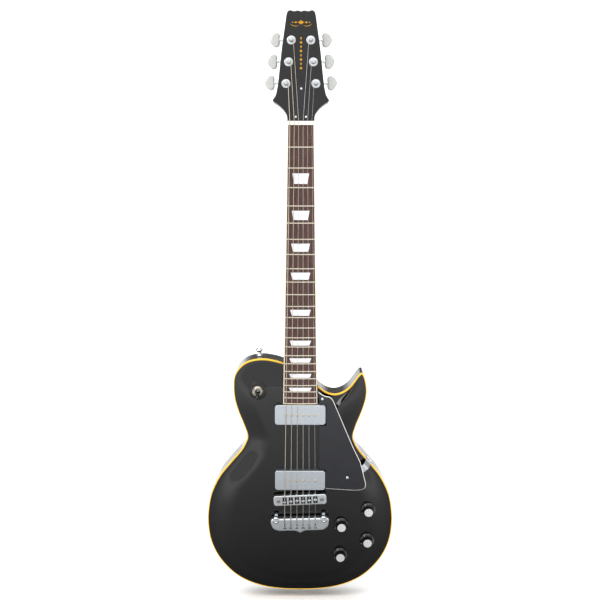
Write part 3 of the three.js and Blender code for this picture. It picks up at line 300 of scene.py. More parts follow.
# Polyester lacquer, sprayed and buffed: a deep black with clear, slightly wavy reflections.
LACQUER = Finish("black_polyester_lacquer", "black_lacquer", "060607", "09090A", roughness=0.07,
                 grain=9.0, rough_span=0.02, bump=0.004, coat=0.1)
# Aged cellulose binding: an amber strip with a faint lengthways grain.
AMBER = Finish("amber_cellulose_binding", "amber_binding", "F6C42A", "EDB41E", roughness=0.3,
               pattern=Pattern.GRAIN, grain=1.2)
# Cream cellulose binding round the fingerboard.
CREAM = Finish("cream_cellulose_binding", "amber_binding", "EADFC4", "DDCFAE", roughness=0.35,
               pattern=Pattern.GRAIN, grain=1.2)
# Oiled rosewood: red-brown streaks with open pores, hardly glossy.
ROSEWOOD = Finish("oiled_rosewood", "rosewood", "5C3B33", "2E1A16", roughness=0.55,
                  pattern=Pattern.WOOD, grain=1.6, rough_span=0.1, bump=0.12)
# Polished bone: warm white with a dull gloss.
BONE = Finish("polished_bone", "bone", "F4F1E8", "E6E0D0", roughness=0.38, grain=2.0)
# Chrome plate on die-cast zinc: clear reflections with faint polishing haze.
CHROME = Finish("chrome_plated_zinc", "chrome", "E0E3E6", "CBCFD3", metallic=1.0, roughness=0.14,
                grain=5.0, rough_span=0.05, bump=0.003)
# Satin nickel over brass sheet: a grey-blue cover that blurs what it reflects.
SATIN = Finish("satin_nickel_plate", "satin_nickel", "CBD2D8", "B4BBC2", metallic=1.0,
               roughness=0.36, pattern=Pattern.PEBBLE, grain=0.9, rough_span=0.06, bump=0.012)
# Drawn nickel silver: fret wire with a warm white gleam.
FRET_WIRE = Finish("nickel_silver_fret_wire", "steel", "D8D0C0", "C6BDAB", metallic=1.0,
                   roughness=0.25, grain=2.0)
# Zinc plated steel: screws, posts and nuts, greyer and duller than the chrome.
STEEL = Finish("zinc_plated_steel", "steel", "A9AAA8", "8F908E", metallic=1.0, roughness=0.28,
               grain=1.5, rough_span=0.08)
# Aged nickel on the pole screws: pale, with a cream tone.
POLE = Finish("aged_nickel_screw", "steel", "EADCC6", "C9B79C", metallic=0.75, roughness=0.34, grain=1.0)
# Dull nickel of the switch nut: warmer and softer than the chrome.
WARM_NICKEL = Finish("dull_nickel_plate", "chrome", "B3ABA2", "8F877E", metallic=1.0, roughness=0.3,
                     grain=1.5)
# Moulded ABS: glossy black plastic of the knobs and the lever tip.
ABS = Finish("moulded_black_abs", "black_plastic", "060607", "0A0A0B", roughness=0.2, grain=3.0,
             rough_span=0.05)
# Brushed aluminium caps in the knobs: bright, with fine lines.
CAP = Finish("spun_aluminium_cap", "chrome", "F2F2F2", "D2D4D6", metallic=0.7, roughness=0.3,
             pattern=Pattern.PEBBLE, grain=0.7, bump=0.01)
# Printed white marks on the knob skirts.
PRINT = Finish("printed_white_ink", "bone", "D9D8D2", "C9C7BF", roughness=0.5, grain=1.0)
# Three-ply acrylic: a grey-black sheet, and the white layer that shows along its bevel.
GUARD_FACE = Finish("grey_black_acrylic_ply", "guard_plastic", "15161B", "191A20", roughness=0.14,
                    grain=12.0, rough_span=0.03, bump=0.004)
GUARD_EDGE = Finish("white_acrylic_ply", "bone", "E9E9E6", "DADAD6", roughness=0.35, grain=2.0)
# Pearloid inlay: white acrylic with bright flakes.
PEARL = Finish("white_pearloid", "pearl_plastic", "F2F2F4", "D3D5DC", roughness=0.25,
               pattern=Pattern.PEARL, grain=5.0, coat=0.3)
# Moulded pearl-grey buttons with a satin skin.
BUTTON = Finish("satin_pearl_button", "pearl_plastic", "C9CAC6", "B2B4B1", roughness=0.34,
                metallic=0.35, grain=2.5, coat=0.2)
# Plain spring steel and nickel-wound strings.
WIRE = Finish("plain_spring_steel", "string_wire", "E6E4DE", "CFCDC6", metallic=0.6, roughness=0.4,
              grain=3.0)
WOUND = Finish("nickel_wound_string", "string_wire", "E2D8C8", "8C8070", metallic=0.7, roughness=0.4,
               pattern=Pattern.WRAP, grain=0.6, bump=0.12)
# Gold foil ornament under the headstock's lacquer.
GOLD = Finish("gold_foil", "amber_binding", "D9A42A", "B57F1D", metallic=0.8, roughness=0.35, grain=1.5)
# Enamelled copper coil in its tape.
COIL = Finish("taped_copper_coil", "coil_wrap", "2A211C", "3A2C22", roughness=0.7, grain=1.5)
# Black ply of the back plates.
BACK_PLATE = Finish("matt_black_abs_sheet", "black_plastic", "141415", "1A1A1B", roughness=0.42,
                    grain=1.2, bump=0.03)
# The black of a drilled hole or a slot's floor.
HOLLOW = Finish("blackened_bore", "black_plastic", "040404", "070707", roughness=0.8, grain=2.0)


# ---------------------------------------------------------------------------------------------- modelling


class Shape:
    """A closed form in millimetres, made with bmesh operators, that becomes one piece."""

    def __init__(self) -> None:
        """Starts an empty form."""
        self.bm = bmesh.new()

    def ring(self, points: Sequence[Vector], closed: bool = True) -> list[bmesh.types.BMEdge]:
        """Adds a few vertices joined by edges.

        Args:
            points: where the vertices are.
            closed: whether the last joins the first.

        Returns:
            The edges.
        """
        verts = [self.bm.verts.new(p) for p in points]
        pairs = list(zip(verts, verts[1:]))
        if closed:
            pairs.append((verts[-1], verts[0]))
        return [self.bm.edges.new(pair) for pair in pairs]

    def loft(self, rings: Sequence[Sequence[Vector]], capped: bool = True) -> "Shape":
        """Bridges closed rings in order, and closes both ends.

        Args:
            rings: the sections, with equal numbers of points.
            capped: whether the ends are closed.

        Returns:
            The form itself.
        """
        loops = [self.ring(points) for points in rings]
        for near, far in zip(loops, loops[1:]):
            bmesh.ops.bridge_loops(self.bm, edges=near + far)
        if capped:
            bmesh.ops.contextual_create(self.bm, geom=loops[0])
            bmesh.ops.contextual_create(self.bm, geom=loops[-1])
        return self

    def plate(self, outline: Sequence[tuple[float, float]], front: float, back: float) -> "Shape":
        """Adds a plate drawn in X and Z, as thick as from front to back along Y, and returns the form."""
        edges = self.ring([Vector((x, front, z)) for x, z in outline])
        face = bmesh.ops.contextual_create(self.bm, geom=edges)["faces"]
        grown = bmesh.ops.extrude_face_region(self.bm, geom=face)["geom"]
        verts = [g for g in grown if isinstance(g, bmesh.types.BMVert)]
        bmesh.ops.translate(self.bm, verts=verts, vec=(0, back - front, 0))
        return self

    def turned(
        self,
        profile: Sequence[tuple[float, float]],
        origin: Sequence[float],
        direction: Sequence[float],
        sides: int = 48,
        closed: bool = False,
    ) -> "Shape":
        """Adds a turned form.

        Args:
            profile: points as (radius, distance along the axis).
            origin: where the axis starts.
            direction: which way it runs.
            sides: how many steps the turn has.
            closed: whether the profile closes on itself instead of on the axis.

        Returns:
            The form itself.
        """
        axis = Vector(direction).normalized()
        across = axis.orthogonal().normalized()
        start = Vector(origin)
        edges = self.ring([start + axis * t + across * r for r, t in profile], closed)
        verts = list({v for e in edges for v in e.verts})
        bmesh.ops.spin(
            self.bm,
            geom=verts + edges,
            cent=start,
            axis=axis,
            angle=math.tau,
            steps=sides,
            use_merge=True,
            use_duplicate=False,
        )
        return self.weld()

    def rod(
        self,
        radius: float,
        span: tuple[float, float],
        origin: Sequence[float],
        direction: Sequence[float] = (0, 1, 0),
        sides: int = 32,
    ) -> "Shape":
        """Adds a plain round rod, as a cutting tool or a screw's shank.

        Args:
            radius: half its thickness.
            span: where it starts and ends along the axis.
            origin: where the axis starts.
            direction: which way it runs.
            sides: how many sides it has.

        Returns:
            The form itself.
        """
        near, far = span
        return self.turned([(0, near), (radius, near), (radius, far), (0, far)], origin, direction, sides)

    def block(self, size: Sequence[float], centre: Sequence[float]) -> "Shape":
        """Adds a box of a size about its centre, and returns the form."""
        spread = Matrix.Translation(centre) @ Matrix.Diagonal((*size, 1))
        bmesh.ops.create_cube(self.bm, size=1.0, matrix=spread)
        return self

    def sweep(self, path: Sequence[Vector], radius: float, sides: int = 10) -> "Shape":
        """Adds a round wire along a path.

        Args:
            path: the wire's centre line.
            radius: half its thickness.
            sides: how many sides its section has.

        Returns:
            The form itself.
        """
        rings = []
        across = Vector((0, 0, 0))
        for i, p in enumerate(path):
            along = (path[min(i + 1, len(path) - 1)] - path[max(i - 1, 0)]).normalized()
            across = across - along * across.dot(along) if i else along.orthogonal()
            across.normalize()
            other = along.cross(across)
            turns = [math.tau * k / sides for k in range(sides)]
            rings.append([p + (across * math.cos(a) + other * math.sin(a)) * radius for a in turns])
        return self.loft(rings)

    def add(self, other: "Shape") -> "Shape":
        """Copies another form into this one, and returns this one."""
        mesh = bpy.data.meshes.new("carried")
        other.bm.to_mesh(mesh)
        self.bm.from_mesh(mesh)
        bpy.data.meshes.remove(mesh)
        return self

    def weld(self) -> "Shape":
        """Merges doubled vertices and turns every face outwards, and returns the form."""
        bmesh.ops.remove_doubles(self.bm, verts=self.bm.verts, dist=0.0005)
        bmesh.ops.recalc_face_normals(self.bm, faces=self.bm.faces)
        return self

    def bevel(
        self,
        width: float,
        segments: int = 2,
        angle: float = 35.0,
        where: Callable[[bmesh.types.BMEdge], bool] | None = None,
    ) -> "Shape":
        """Rounds the sharp edges.

        Args:
            width: how far the rounding reaches.
            segments: how many steps it has.
            angle: the least angle between faces that counts as sharp, in degrees.
            where: picks among the sharp edges.

        Returns:
            The form itself.
        """
        self.weld()
        limit = math.radians(angle)
        edges = [
            e
            for e in self.bm.edges
            if len(e.link_faces) == 2 and e.calc_face_angle(0.0) > limit and (where is None or where(e))
        ]
        bmesh.ops.bevel(
            self.bm,
            geom=edges,
            offset=width,
            offset_type="OFFSET",
            segments=segments,
            profile=0.5,
            affect="EDGES",
            clamp_overlap=True,
            material=-1,
        )
        return self

    def move(self, matrix: Matrix) -> "Shape":
        """Places the form by a matrix, and returns it."""
        self.bm.transform(matrix)
        return self

    def object(self, name: str) -> bpy.types.Object:
        """Returns a Blender object of the form as it stands, still in millimetres."""
        mesh = bpy.data.meshes.new(name)
        self.weld().bm.to_mesh(mesh)
        made = bpy.data.objects.new(name, mesh)
        bpy.context.scene.collection.objects.link(made)
        return made

    def combine(self, tools: Sequence["Shape"], mode: str = "DIFFERENCE") -> "Shape":
        """Cuts or joins other forms with an exact Boolean.

        Args:
            tools: the other forms.
            mode: DIFFERENCE or UNION.

        Returns:
            The form itself.
        """
        base = self.object("base")
        used = [tool.object("tool") for tool in tools]
        for other in used:
            step = base.modifiers.new("step", "BOOLEAN")
            step.operation = mode
            step.solver = "EXACT"
            step.object = other
            step.use_self = mode == "UNION"
        bpy.context.view_layer.update()
        result = base.evaluated_get(bpy.context.evaluated_depsgraph_get()).to_mesh()
        self.bm.clear()
        self.bm.from_mesh(result)
        if not self.bm.faces:
            raise RuntimeError(f"an exact {mode} left nothing of the form")
        for done in (base, *used):
            mesh = done.data
            bpy.data.objects.remove(done)
            bpy.data.meshes.remove(mesh)
        return self

    def piece(
        self,
        name: str,
        finish: Finish,
        body: str = "guitar",
        replaces: Sequence[str] = (),
        smooth: float = 35.0,
        others: Sequence[Finish] = (),
        even: bool = True,
    ) -> bpy.types.Object:
        """Makes the form a finished piece.

        Args:
            name: the piece's name.
            finish: its finish.
            body: the body that it rides on.
            replaces: the frame's nodes that it stands for.
            smooth: faces that meet at less than this many degrees shade as one.
            others: the finishes of the faces whose material index is 1 and up.
            even: whether large faces keep their own normals.

        Returns:
            The piece.
        """
        self.weld()
        self.bm.transform(Matrix.Scale(MM, 4))
        mesh = bpy.data.meshes.new(name)
        self.bm.to_mesh(mesh)
        self.bm.free()
        for one in (finish, *others):
            mesh.materials.append(one.material())
        mesh.shade_smooth()
        mesh.set_sharp_from_angle(angle=math.radians(smooth))
        made = bpy.data.objects.new(name, mesh)
        bpy.context.scene.collection.objects.link(made)
        if even:
            normals = made.modifiers.new("even_normals", "WEIGHTED_NORMAL")
            normals.keep_sharp = True
        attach(made, body)
        if replaces:
            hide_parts(*replaces)
        log.info("%s: %d faces on %s", name, len(mesh.polygons), body)
        return made


def in_front(depth: float) -> Callable[[bmesh.types.BMEdge], bool]:
    """Returns a test for the edges that lie in front of a depth."""
    return lambda e: all(v.co.y < depth for v in e.verts)


def behind(depth: float) -> Callable[[bmesh.types.BMEdge], bool]:
    """Returns a test for the edges that lie behind a depth."""
    return lambda e: all(v.co.y > depth for v in e.verts)


def spline(points: Sequence[Vector], steps: int, closed: bool = False) -> list[Vector]:
    """Draws a smooth line through points.

    Args:
        points: what the line passes through.
        steps: how many steps each span is cut into.
        closed: whether it joins up.

    Returns:
        The points of the line.
    """
    count = len(points)
    line = []
    for i in range(count if closed else count - 1):
        p1, p2 = points[i], points[(i + 1) % count]
        p0 = points[i - 1] if i or closed else p1 * 2 - p2
        p3 = points[(i + 2) % count] if i + 2 < count or closed else p2 * 2 - p1
        for k in range(steps):
            t = k / steps
            a = (p2 - p0) * t
            b = (p0 * 2 - p1 * 5 + p2 * 4 - p3) * t * t
            c = (p1 * 3 - p0 - p2 * 3 + p3) * t * t * t
            line.append((p1 * 2 + a + b + c) / 2)
    if not closed:
        line.append(points[-1].copy())
    return line


def flat_spline(points: Sequence[tuple[float, float]], steps: int,
                closed: bool = False) -> list[tuple[float, float]]:
    """Draws a smooth line through points of a plane, and returns its points."""
    return [(p.x, p.y) for p in spline([Vector((a, b, 0)) for a, b in points], steps, closed)]


def corner(
    outline: Sequence[tuple[float, float]], rounds: dict[int, float], steps: int = 6
) -> list[tuple[float, float]]:
    """Rounds chosen corners of a polygon.

    Args:
        outline: the polygon.
        rounds: how far each corner's rounding starts from it, by its number.
        steps: how many steps each rounding has.

    Returns:
        The new outline.
    """
    made: list[tuple[float, float]] = []
    count = len(outline)
    for i, here in enumerate(outline):
        if i not in rounds:
            made.append(here)
            continue
        p = Vector(here)
        before = Vector(outline[i - 1]) - p
        after = Vector(outline[(i + 1) % count]) - p
        reach = min(rounds[i], before.length / 2, after.length / 2)
        a = p + before.normalized() * reach
        b = p + after.normalized() * reach
        for k in range(steps + 1):
            t = k / steps
            q = a * (1 - t) ** 2 + p * 2 * t * (1 - t) + b * t * t
            made.append((q.x, q.y))
    return made


def rounded_rect(width: float, height: float, reach: float, x: float = 0, z: float = 0,
                 steps: int = 8) -> list[tuple[float, float]]:
    """Returns the outline of a rectangle with round corners about a point."""
    made = []
    for turn, (sx, sz) in enumerate(((1, 1), (-1, 1), (-1, -1), (1, -1))):
        cx = x + sx * (width / 2 - reach)
        cz = z + sz * (height / 2 - reach)
        for k in range(steps + 1):
            a = math.pi / 2 * (turn + k / steps)
            made.append((cx + reach * math.cos(a), cz + reach * math.sin(a)))
    return made


@dataclass
class Screw:
    """A countersunk or domed screw seen from its head."""

    radius: float = 2.4
    dome: float = 1.0
    depth: float = 1.4
    cross: bool = True

    def shape(self, place: Vector, out: Vector, turn: float = 0.4) -> Shape:
        """Makes the head.

        Args:
            place: the middle of the head's seat.
            out: which way it faces.
            turn: how far its slot is turned, in radians.

        Returns:
            The form.
        """
        r = self.radius
        head = Shape().turned(
            [(0, -self.depth), (r * 0.55, -self.depth), (r, 0), (r * 0.92, self.dome * 0.45),
             (r * 0.7, self.dome * 0.8), (r * 0.4, self.dome * 0.97), (0, self.dome)],
            (0, 0, 0), (0, 0, 1), 28)
        slots = []
        for k in range(2 if self.cross else 1):
            reach = r * (1.15 if self.cross else 2.6)
            slot = Shape().block((reach, r * 0.3, self.dome * 2), (0, 0, self.dome * 1.25))
            slots.append(slot.move(Matrix.Rotation(turn + k * math.pi / 2, 4, "Z")))
        head.combine(slots)
        facing = Vector((0, 0, 1)).rotation_difference(out.normalized()).to_matrix().to_4x4()
        return head.move(Matrix.Translation(place) @ facing)


# ---------------------------------------------------------------------------------------------- body


# Each row is x, height above the bridge line, and the same point on the carved plateau.
BASS_SHOULDER = (
    (-28.2, 232, -20, 186), (-43, 236.4, -29, 189), (-61, 239.2, -42, 190.5), (-80, 237.4, -54, 188.5),
    (-95, 231.1, -62, 184), (-106, 219.8, -68, 177.5), (-112, 207, -71, 170), (-113.3, 189, -72, 160),
    (-111.5, 168, -69, 147), (-105, 145, -63, 133), (-96.5, 123, -56, 118),
)
LOWER_BOUT = (
    (90.5, 103, 51, 103), (94, 90.5, 52, 88), (101, 77.5, 56, 72), (113, 63, 66, 54),
    (125, 48.5, 80, 36), (137, 33, 94, 19), (148, 13, 104, -1), (156, -9, 111, -19),
    (160.3, -36, 115, -40), (160.8, -60, 116, -58), (157.3, -86.5, 113, -76), (149, -110, 107, -93),
    (135.5, -132, 97, -109), (114.5, -154, 82, -125), (90, -169, 64, -136), (62, -178.5, 44, -143),
    (32, -183, 23, -146),
)
TREBLE_HORN = (
    (96, 123, 55, 118), (104.5, 145, 61, 130), (110.8, 165, 66, 141), (113, 181, 68, 148),
    (112, 195, 69, 152), (109.3, 206, 69, 154), (106.6, 212.5, 68, 155.4), (102.6, 214.2, 67, 155.6),
    (98, 209.8, 65.5, 155), (92, 201, 63, 154), (84.5, 191, 60, 152.5), (76.5, 184, 56.5, 151),
    (68.5, 179.7, 53, 149.6), (60, 177.6, 48.5, 149), (51.5, 178.3, 44, 149.4),
    (44, 181, 39.5, 151), (37.3, 185.3, 34, 153.6), (30.2, 191.4, 29, 157),
)


@dataclass
class Body:
    """The carved body with its binding and its two back plates."""

    back_round: float = 5.0
    binding_width: float = 1.6
    binding_height: float = 6.0
    joint_height: float = 231.0
    steps: int = 5
    carve_rings: int = 22
    cavity_radius: float = 26.0
    ledge: float = 4.0
    plate_thick: float = 2.0
    pot_margin: float = 14.0
    rim: list[Vector] = field(default_factory=list)
    plateau: list[Vector] = field(default_factory=list)
    inward: list[Vector] = field(default_factory=list)

    def __post_init__(self) -> None:
        """Draws the rim and the plateau's edge."""
        rows = [*BASS_SHOULDER, *((-x, h, -px, ph) for x, h, px, ph in LOWER_BOUT), (0, -184, 0, -147),
                *reversed(LOWER_BOUT), *TREBLE_HORN]
        self.rim = spline([Vector((r[0], 0, BRIDGE_Z + r[1])) for r in rows], self.steps)
        self.plateau = spline([Vector((r[2], 0, BRIDGE_Z + r[3])) for r in rows], self.steps)
        last = len(self.rim) - 1
        for i in range(last + 1):
            along = (self.rim[min(i + 1, last)] - self.rim[max(i - 1, 0)]).normalized()
            self.inward.append(Vector((-along.z, 0, along.x)))

    def rim_ring(self, inset: float, y: float) -> list[Vector]:
        """Returns the rim drawn in square to itself by an inset, at a depth."""
        ring = [p + n * inset for p, n in zip(self.rim, self.inward)]
        return [Vector((p.x, y, p.z)) for p in ring]

    def drawn_ring(self, inset: float, y: float) -> list[Vector]:
        """Returns the rim drawn towards the plateau by an inset, at a depth, so that it never folds."""
        ring = [p + (q - p).normalized() * inset for p, q in zip(self.rim, self.plateau)]
        return [Vector((p.x, y, p.z)) for p in ring]

    def carve_ring(self, t: float) -> list[Vector]:
        """Returns a ring of the carve, from 0 at the binding to 1 on the plateau."""
        rise = (1 - math.cos(math.pi * t)) / 2
        rings = zip(self.rim, self.inward, self.plateau)
        edge = [(p + n * self.binding_width, q) for p, n, q in rings]
        return [Vector((a.x + (b.x - a.x) * t, -ARCH * rise, a.z + (b.z - a.z) * t)) for a, b in edge]

    def cavity(self, grow: float) -> list[tuple[float, float]]:
        """Returns the outline of the control cavity, grown by a margin."""
        margin = self.pot_margin + grow
        xs = [knob.x for knob in KNOBS]
        hs = [knob.h for knob in KNOBS]
        left, right, low, high = min(xs) - margin, max(xs) + margin, min(hs) - margin, max(hs) + margin
        points = [(left, low), (left + 34, low), (right, low + 36), (right, high), (right - 34, high),
                  (left, high - 34)]
        shifted = [(x, BRIDGE_Z + h) for x, h in points]
        return corner(shifted, {i: 5.0 for i in range(6)}, 4)

    def build(self) -> None:
        """Makes the body, its binding and the back plates."""
        inset = self.binding_width
        rings = [self.carve_ring(1 - k / self.carve_rings) for k in range(self.carve_rings + 1)]
        rings.append(self.rim_ring(inset, self.binding_height))
        rings.append(self.rim_ring(0, self.binding_height))
        rings.append(self.rim_ring(0, self.binding_height + 1.5))
        rings.append(self.rim_ring(0, RIM - self.back_round - 1.5))
        rings.append(self.rim_ring(0, RIM - self.back_round))
        for k in range(1, 7):
            a = math.pi / 2 * k / 6
            rings.append(self.drawn_ring(self.back_round * (1 - math.cos(a)),
                                         RIM - self.back_round * (1 - math.sin(a))))
        wood = Shape().loft(rings)
        half = board_half(SCALE - self.joint_height) - 0.6
        first = BRIDGE_Z + self.joint_height
        last = self.rim[-1].z
        block = Shape().plate([(-half, first), (-half, last - 30), (half, last - 30), (half, last + 2),
                               (half - 1.5, first)], -ARCH + 0.4, RIM - 0.05)
        wood.combine([block], "UNION")
        tools = []
        for pickup in PICKUPS:
            z = station_z(pickup.station)
            outline = rounded_rect(pickup.width + 0.6, pickup.length + 0.6, pickup.corner + 0.3, 0, z)
            tools.append(Shape().plate(outline, -30, 8))
        seat = RIM - self.plate_thick - GAP
        tools.append(Shape().plate(self.cavity(self.ledge + GAP), seat, RIM + 5))
        tz = BRIDGE_Z + Toggle.h
        ledge = self.cavity_radius + self.ledge
        tools.append(Shape().rod(ledge + GAP, (seat, RIM + 5), (Toggle.x, 0, tz), sides=64))
        tools.append(Shape().rod(6.45, (-30, 20), (Toggle.x, 0, tz)))
        wood.combine(tools)
        wood.piece("body_wood", LACQUER, replaces=["body"], smooth=32, even=False)
        self.binding()
        self.back_plates(seat + GAP)

    def binding(self) -> None:
        """Makes the amber strip let into the front edge."""
        w, h, r = self.binding_width, self.binding_height, 0.5
        sections = []
        for p, n in zip(self.rim, self.inward):
            profile = [(0, h), (0, r), (r * 0.3, r * 0.3), (r, 0), (w, 0), (w, h)]
            sections.append([Vector((p.x + n.x * s, y, p.z + n.z * s)) for s, y in profile])
        Shape().loft(sections).piece("body_binding_strip", AMBER, replaces=["body_binding"], smooth=50,
                                     even=False)

    def back_plates(self, front: float) -> None:
        """Makes the control and switch plates with their screws.

        Args:
            front: the depth of the plates' inner face.
        """
        out = Vector((0, 1, 0))
        control = Shape().plate(self.cavity(self.ledge), front, RIM)
        control.bevel(0.5, 2, where=behind(RIM - 0.01))
        control.piece("control_plate", BACK_PLATE, replaces=["control_cavity_cover"])
        radius = self.cavity_radius + self.ledge
        place = (Toggle.x, 0, BRIDGE_Z + Toggle.h)
        profile = [(0, front), (radius, front), (radius, RIM - 0.5), (radius - 0.5, RIM), (0, RIM)]
        switch = Shape().turned(profile, place, (0, 1, 0), 72)
        switch.piece("switch_plate", BACK_PLATE, replaces=["switch_cavity_cover"])
        screws = Shape()
        outline = self.cavity(self.ledge - 3.4)
        for i in (2, 7, 12, 17, 22, 27):
            x, z = outline[i]
            screws.add(Screw().shape(Vector((x, RIM - 0.15, z)), out, 0.3 * i))
        for k in range(3):
            a = math.tau * k / 3 + 0.6
            spot = Vector((place[0] + (radius - 3.2) * math.cos(a), RIM - 0.15,
                           place[2] + (radius - 3.2) * math.sin(a)))
            screws.add(Screw().shape(spot, out, a))
        screws.piece("back_plate_screws", STEEL)

    def rim_place(self, score: Callable[[Vector], float]) -> tuple[Vector, Vector]:
        """Finds a place half way down the rim.

        Args:
            score: what is least at the wanted place.

        Returns:
            The place, and the way out of the body there.
        """
        fine = spline(self.rim, 6)
        i = min(range(1, len(fine) - 1), key=lambda k: score(fine[k]))
        along = (fine[i + 1] - fine[i - 1]).normalized()
        foot = Vector((fine[i].x, (RIM + self.binding_height) / 2, fine[i].z))
        return foot, Vector((along.z, 0, -along.x))


# ---------------------------------------------------------------------------------------------- neck


@dataclass
class Neck:
    """The neck with its headstock, heel, fingerboard, frets, inlays, nut and truss rod cover."""

    depth: float = 15.0
    depth_end: float = 18.5
    joint: float = 397.65
    head_thick: float = 15.0
    nut_length: float = 6.6
    nut_top: float = 2.6
    frets: int = 22
    edge_strip: float = 1.5
    inlaid: tuple[int, ...] = (3, 5, 7, 9, 12, 15, 17, 19, 21)

    def section(self, station: float, depth: float, boxy: float, lean: float = 0.0, top: float = 6.3,
                half: float = 0.0) -> list[Vector]:
        """Draws a section of the neck behind the board.

        Args:
            station: distance from the nut.
            depth: how deep the wood is.
            boxy: 1 for an ellipse, less for a squarer section.
            lean: how far the section leans up the neck with its depth.
            top: the depth of its flat front.
            half: half its width, or 0 for the board's.

        Returns:
            The section's points, in the neck's frame.
        """
        width = half or board_half(min(station, BOARD_LENGTH))
        ring = []
        for i in range(29):
            a = math.pi * i / 28
            c, s = math.cos(a), math.sin(a)
            x = math.copysign(abs(c) ** boxy, c) * width
            y = top + depth * s**boxy
            ring.append(Vector((x, y, y * lean - station)))
        return ring

    def heel_reach(self) -> float:
        """Returns how deep the heel is at the joint."""
        return RIM - 4 - (BOARD_THICK - self.joint * math.sin(NECK_TILT))

    def wood(self) -> None:
        """Makes the neck's wood: shaft, volute, heel and headstock."""
        reach = self.heel_reach()
        lean = math.tan(NECK_TILT)
        rows = [(-2, self.depth + 1.3, 0.8), (8, self.depth + 0.5, 0.82), (40, self.depth, 0.86),
                (176, (self.depth + self.depth_end) / 2, 0.86), (320, self.depth_end - 0.4, 0.84),
                (352, self.depth_end, 0.8), (366, self.depth_end + 3, 0.7), (372, self.depth_end + 6, 0.62),
                (378, self.depth_end + 10, 0.55), (386, reach - 4, 0.45)]
        rings = [
            self.section(-30, 12, 0.75, top=14.5, half=12),
            self.section(-22, 15.4, 0.75, top=11.5, half=15.5),
            self.section(-14, 17.4, 0.78, top=9.5, half=18.5),
            self.section(-8, 17.6, 0.8, top=7.5, half=20.5),
        ]
        rings += [self.section(s, d, b) for s, d, b in rows]
        rings += [self.section(s, reach, 0.4, lean) for s in (self.joint - 5, self.joint - 1)]
        # The spline through the sections turns the heel and the volute in one sweep.
        columns = [spline([ring[i] for ring in rings], 3) for i in range(29)]
        smooth = [[column[k] for column in columns] for k in range(len(columns[0]))]
        shaft = Shape().loft(smooth).move(NECK)
        head = Shape().plate(self.head_outline(), 0, self.head_thick)
        head.bevel(1.1, 3, 50)
        pocket = Shape().plate(rounded_rect(13, 20, 3, 0, 14), -4, 9)
        head.combine([pocket])
        head.move(HEAD)
        shelf = Shape().block((60, 30, 24.6), (0, -8.7 - GAP, -18 + self.nut_length + 5.7))
        head.combine([shelf.move(NECK)])
        wood = head.combine([shaft], "UNION")
        wood.piece("neck_wood", LACQUER, replaces=["neck"], smooth=32, even=False)

    def head_outline(self) -> list[tuple[float, float]]:
        """Returns the headstock's outline in its own frame."""
        ears = flat_spline([(22, 4), (22.6, 9), (24.6, 13), (29.2, 19.4), (36.9, 26.4), (44.2, 31.2)], 4)
        side = flat_spline([(45.5, 34.0), (41.8, 39.4), (39.6, 45.4), (37, 59.4)], 4)
        rise = [(34.1, 88.4), (31.2, 117.4), (23.8, 173.0)]
        crown = flat_spline([(22.4, 178), (19.8, 180.4), (16, 180.7), (11.5, 179.2), (7, 180.3), (3.4, 180.1),
                             (0, 178.5)], 4)
        right = [(21.9, -2), *ears, *side, *rise, *crown]
        return right + [(-x, v) for x, v in reversed(right[:-1])]

    def crown_y(self, x: float) -> float:
        """Returns the depth of the board's crowned face at a place across it."""
        return x * x / (2 * BOARD_RADIUS)

    def board(self) -> None:
        """Makes the fingerboard, its binding, frets, inlays and side dots."""
        steps = [k / 6 - 1 for k in range(13)]
        strip = self.edge_strip

        def ring(station: float) -> list[Vector]:
            half = board_half(station) - strip
            face = [Vector((k * half, self.crown_y(k * half), -station)) for k in steps]
            return face + [Vector((half, BOARD_THICK, -station)), Vector((-half, BOARD_THICK, -station))]

        wood = Shape().loft([ring(GAP), ring(BOARD_LENGTH - strip)]).move(NECK)
        wood.piece("rosewood_board", ROSEWOOD, replaces=["fretboard"], smooth=20)
        edge = Shape()
        for side in (-1, 1):
            def bar(station: float, side: int = side) -> list[Vector]:
                outer = board_half(station)
                xs = (outer, outer - 0.35, outer - strip)
                ys = (self.crown_y(outer) + 0.4, self.crown_y(outer), self.crown_y(outer - strip))
                front = [Vector((side * x, y, -station)) for x, y in zip(xs, ys)]
                return front + [Vector((side * xs[2], BOARD_THICK, -station)),
                                Vector((side * xs[0], BOARD_THICK, -station))]

            edge.loft([bar(GAP), bar(BOARD_LENGTH)])
        half = board_half(BOARD_LENGTH) - strip
        tail = [(k * half, self.crown_y(k * half)) for k in steps]
        tail += [(half, BOARD_THICK), (-half, BOARD_THICK)]
        edge.loft([[Vector((x, y, -z)) for x, y in tail] for z in (BOARD_LENGTH - strip, BOARD_LENGTH)])
        edge.move(NECK).piece("board_binding", CREAM, smooth=40)
        self.fret_wires()
        self.inlays()
        self.side_dots()

    def fret_wires(self) -> None:
        """Makes the frets as crowned bars with dressed ends."""
        wires = Shape()
        profile = [(-1.2, 0.5), (-1.15, -0.45), (-0.75, -0.92), (0, -1.1), (0.75, -0.92), (1.15, -0.45),
                   (1.2, 0.5)]
        for n in range(1, self.frets + 1):
            station = fret_station(n)
            half = board_half(station) - 0.5
            rings = []
            for k in range(13):
                x = (k / 6 - 1) * half
                fall = 0.55 if k in (0, 12) else 1.0
                x -= math.copysign(0.35, x) if k in (0, 12) else 0
                rings.append([Vector((x, self.crown_y(x) + y * (fall if y < 0 else 1), -station + s))
                              for s, y in profile])
            for k, x in ((0, -half), (-1, half)):
                rings[k] = [Vector((x, p.y, p.z)) for p in rings[k]]
            wires.loft(rings)
        wires.move(NECK).piece("fret_wires", FRET_WIRE, smooth=50)

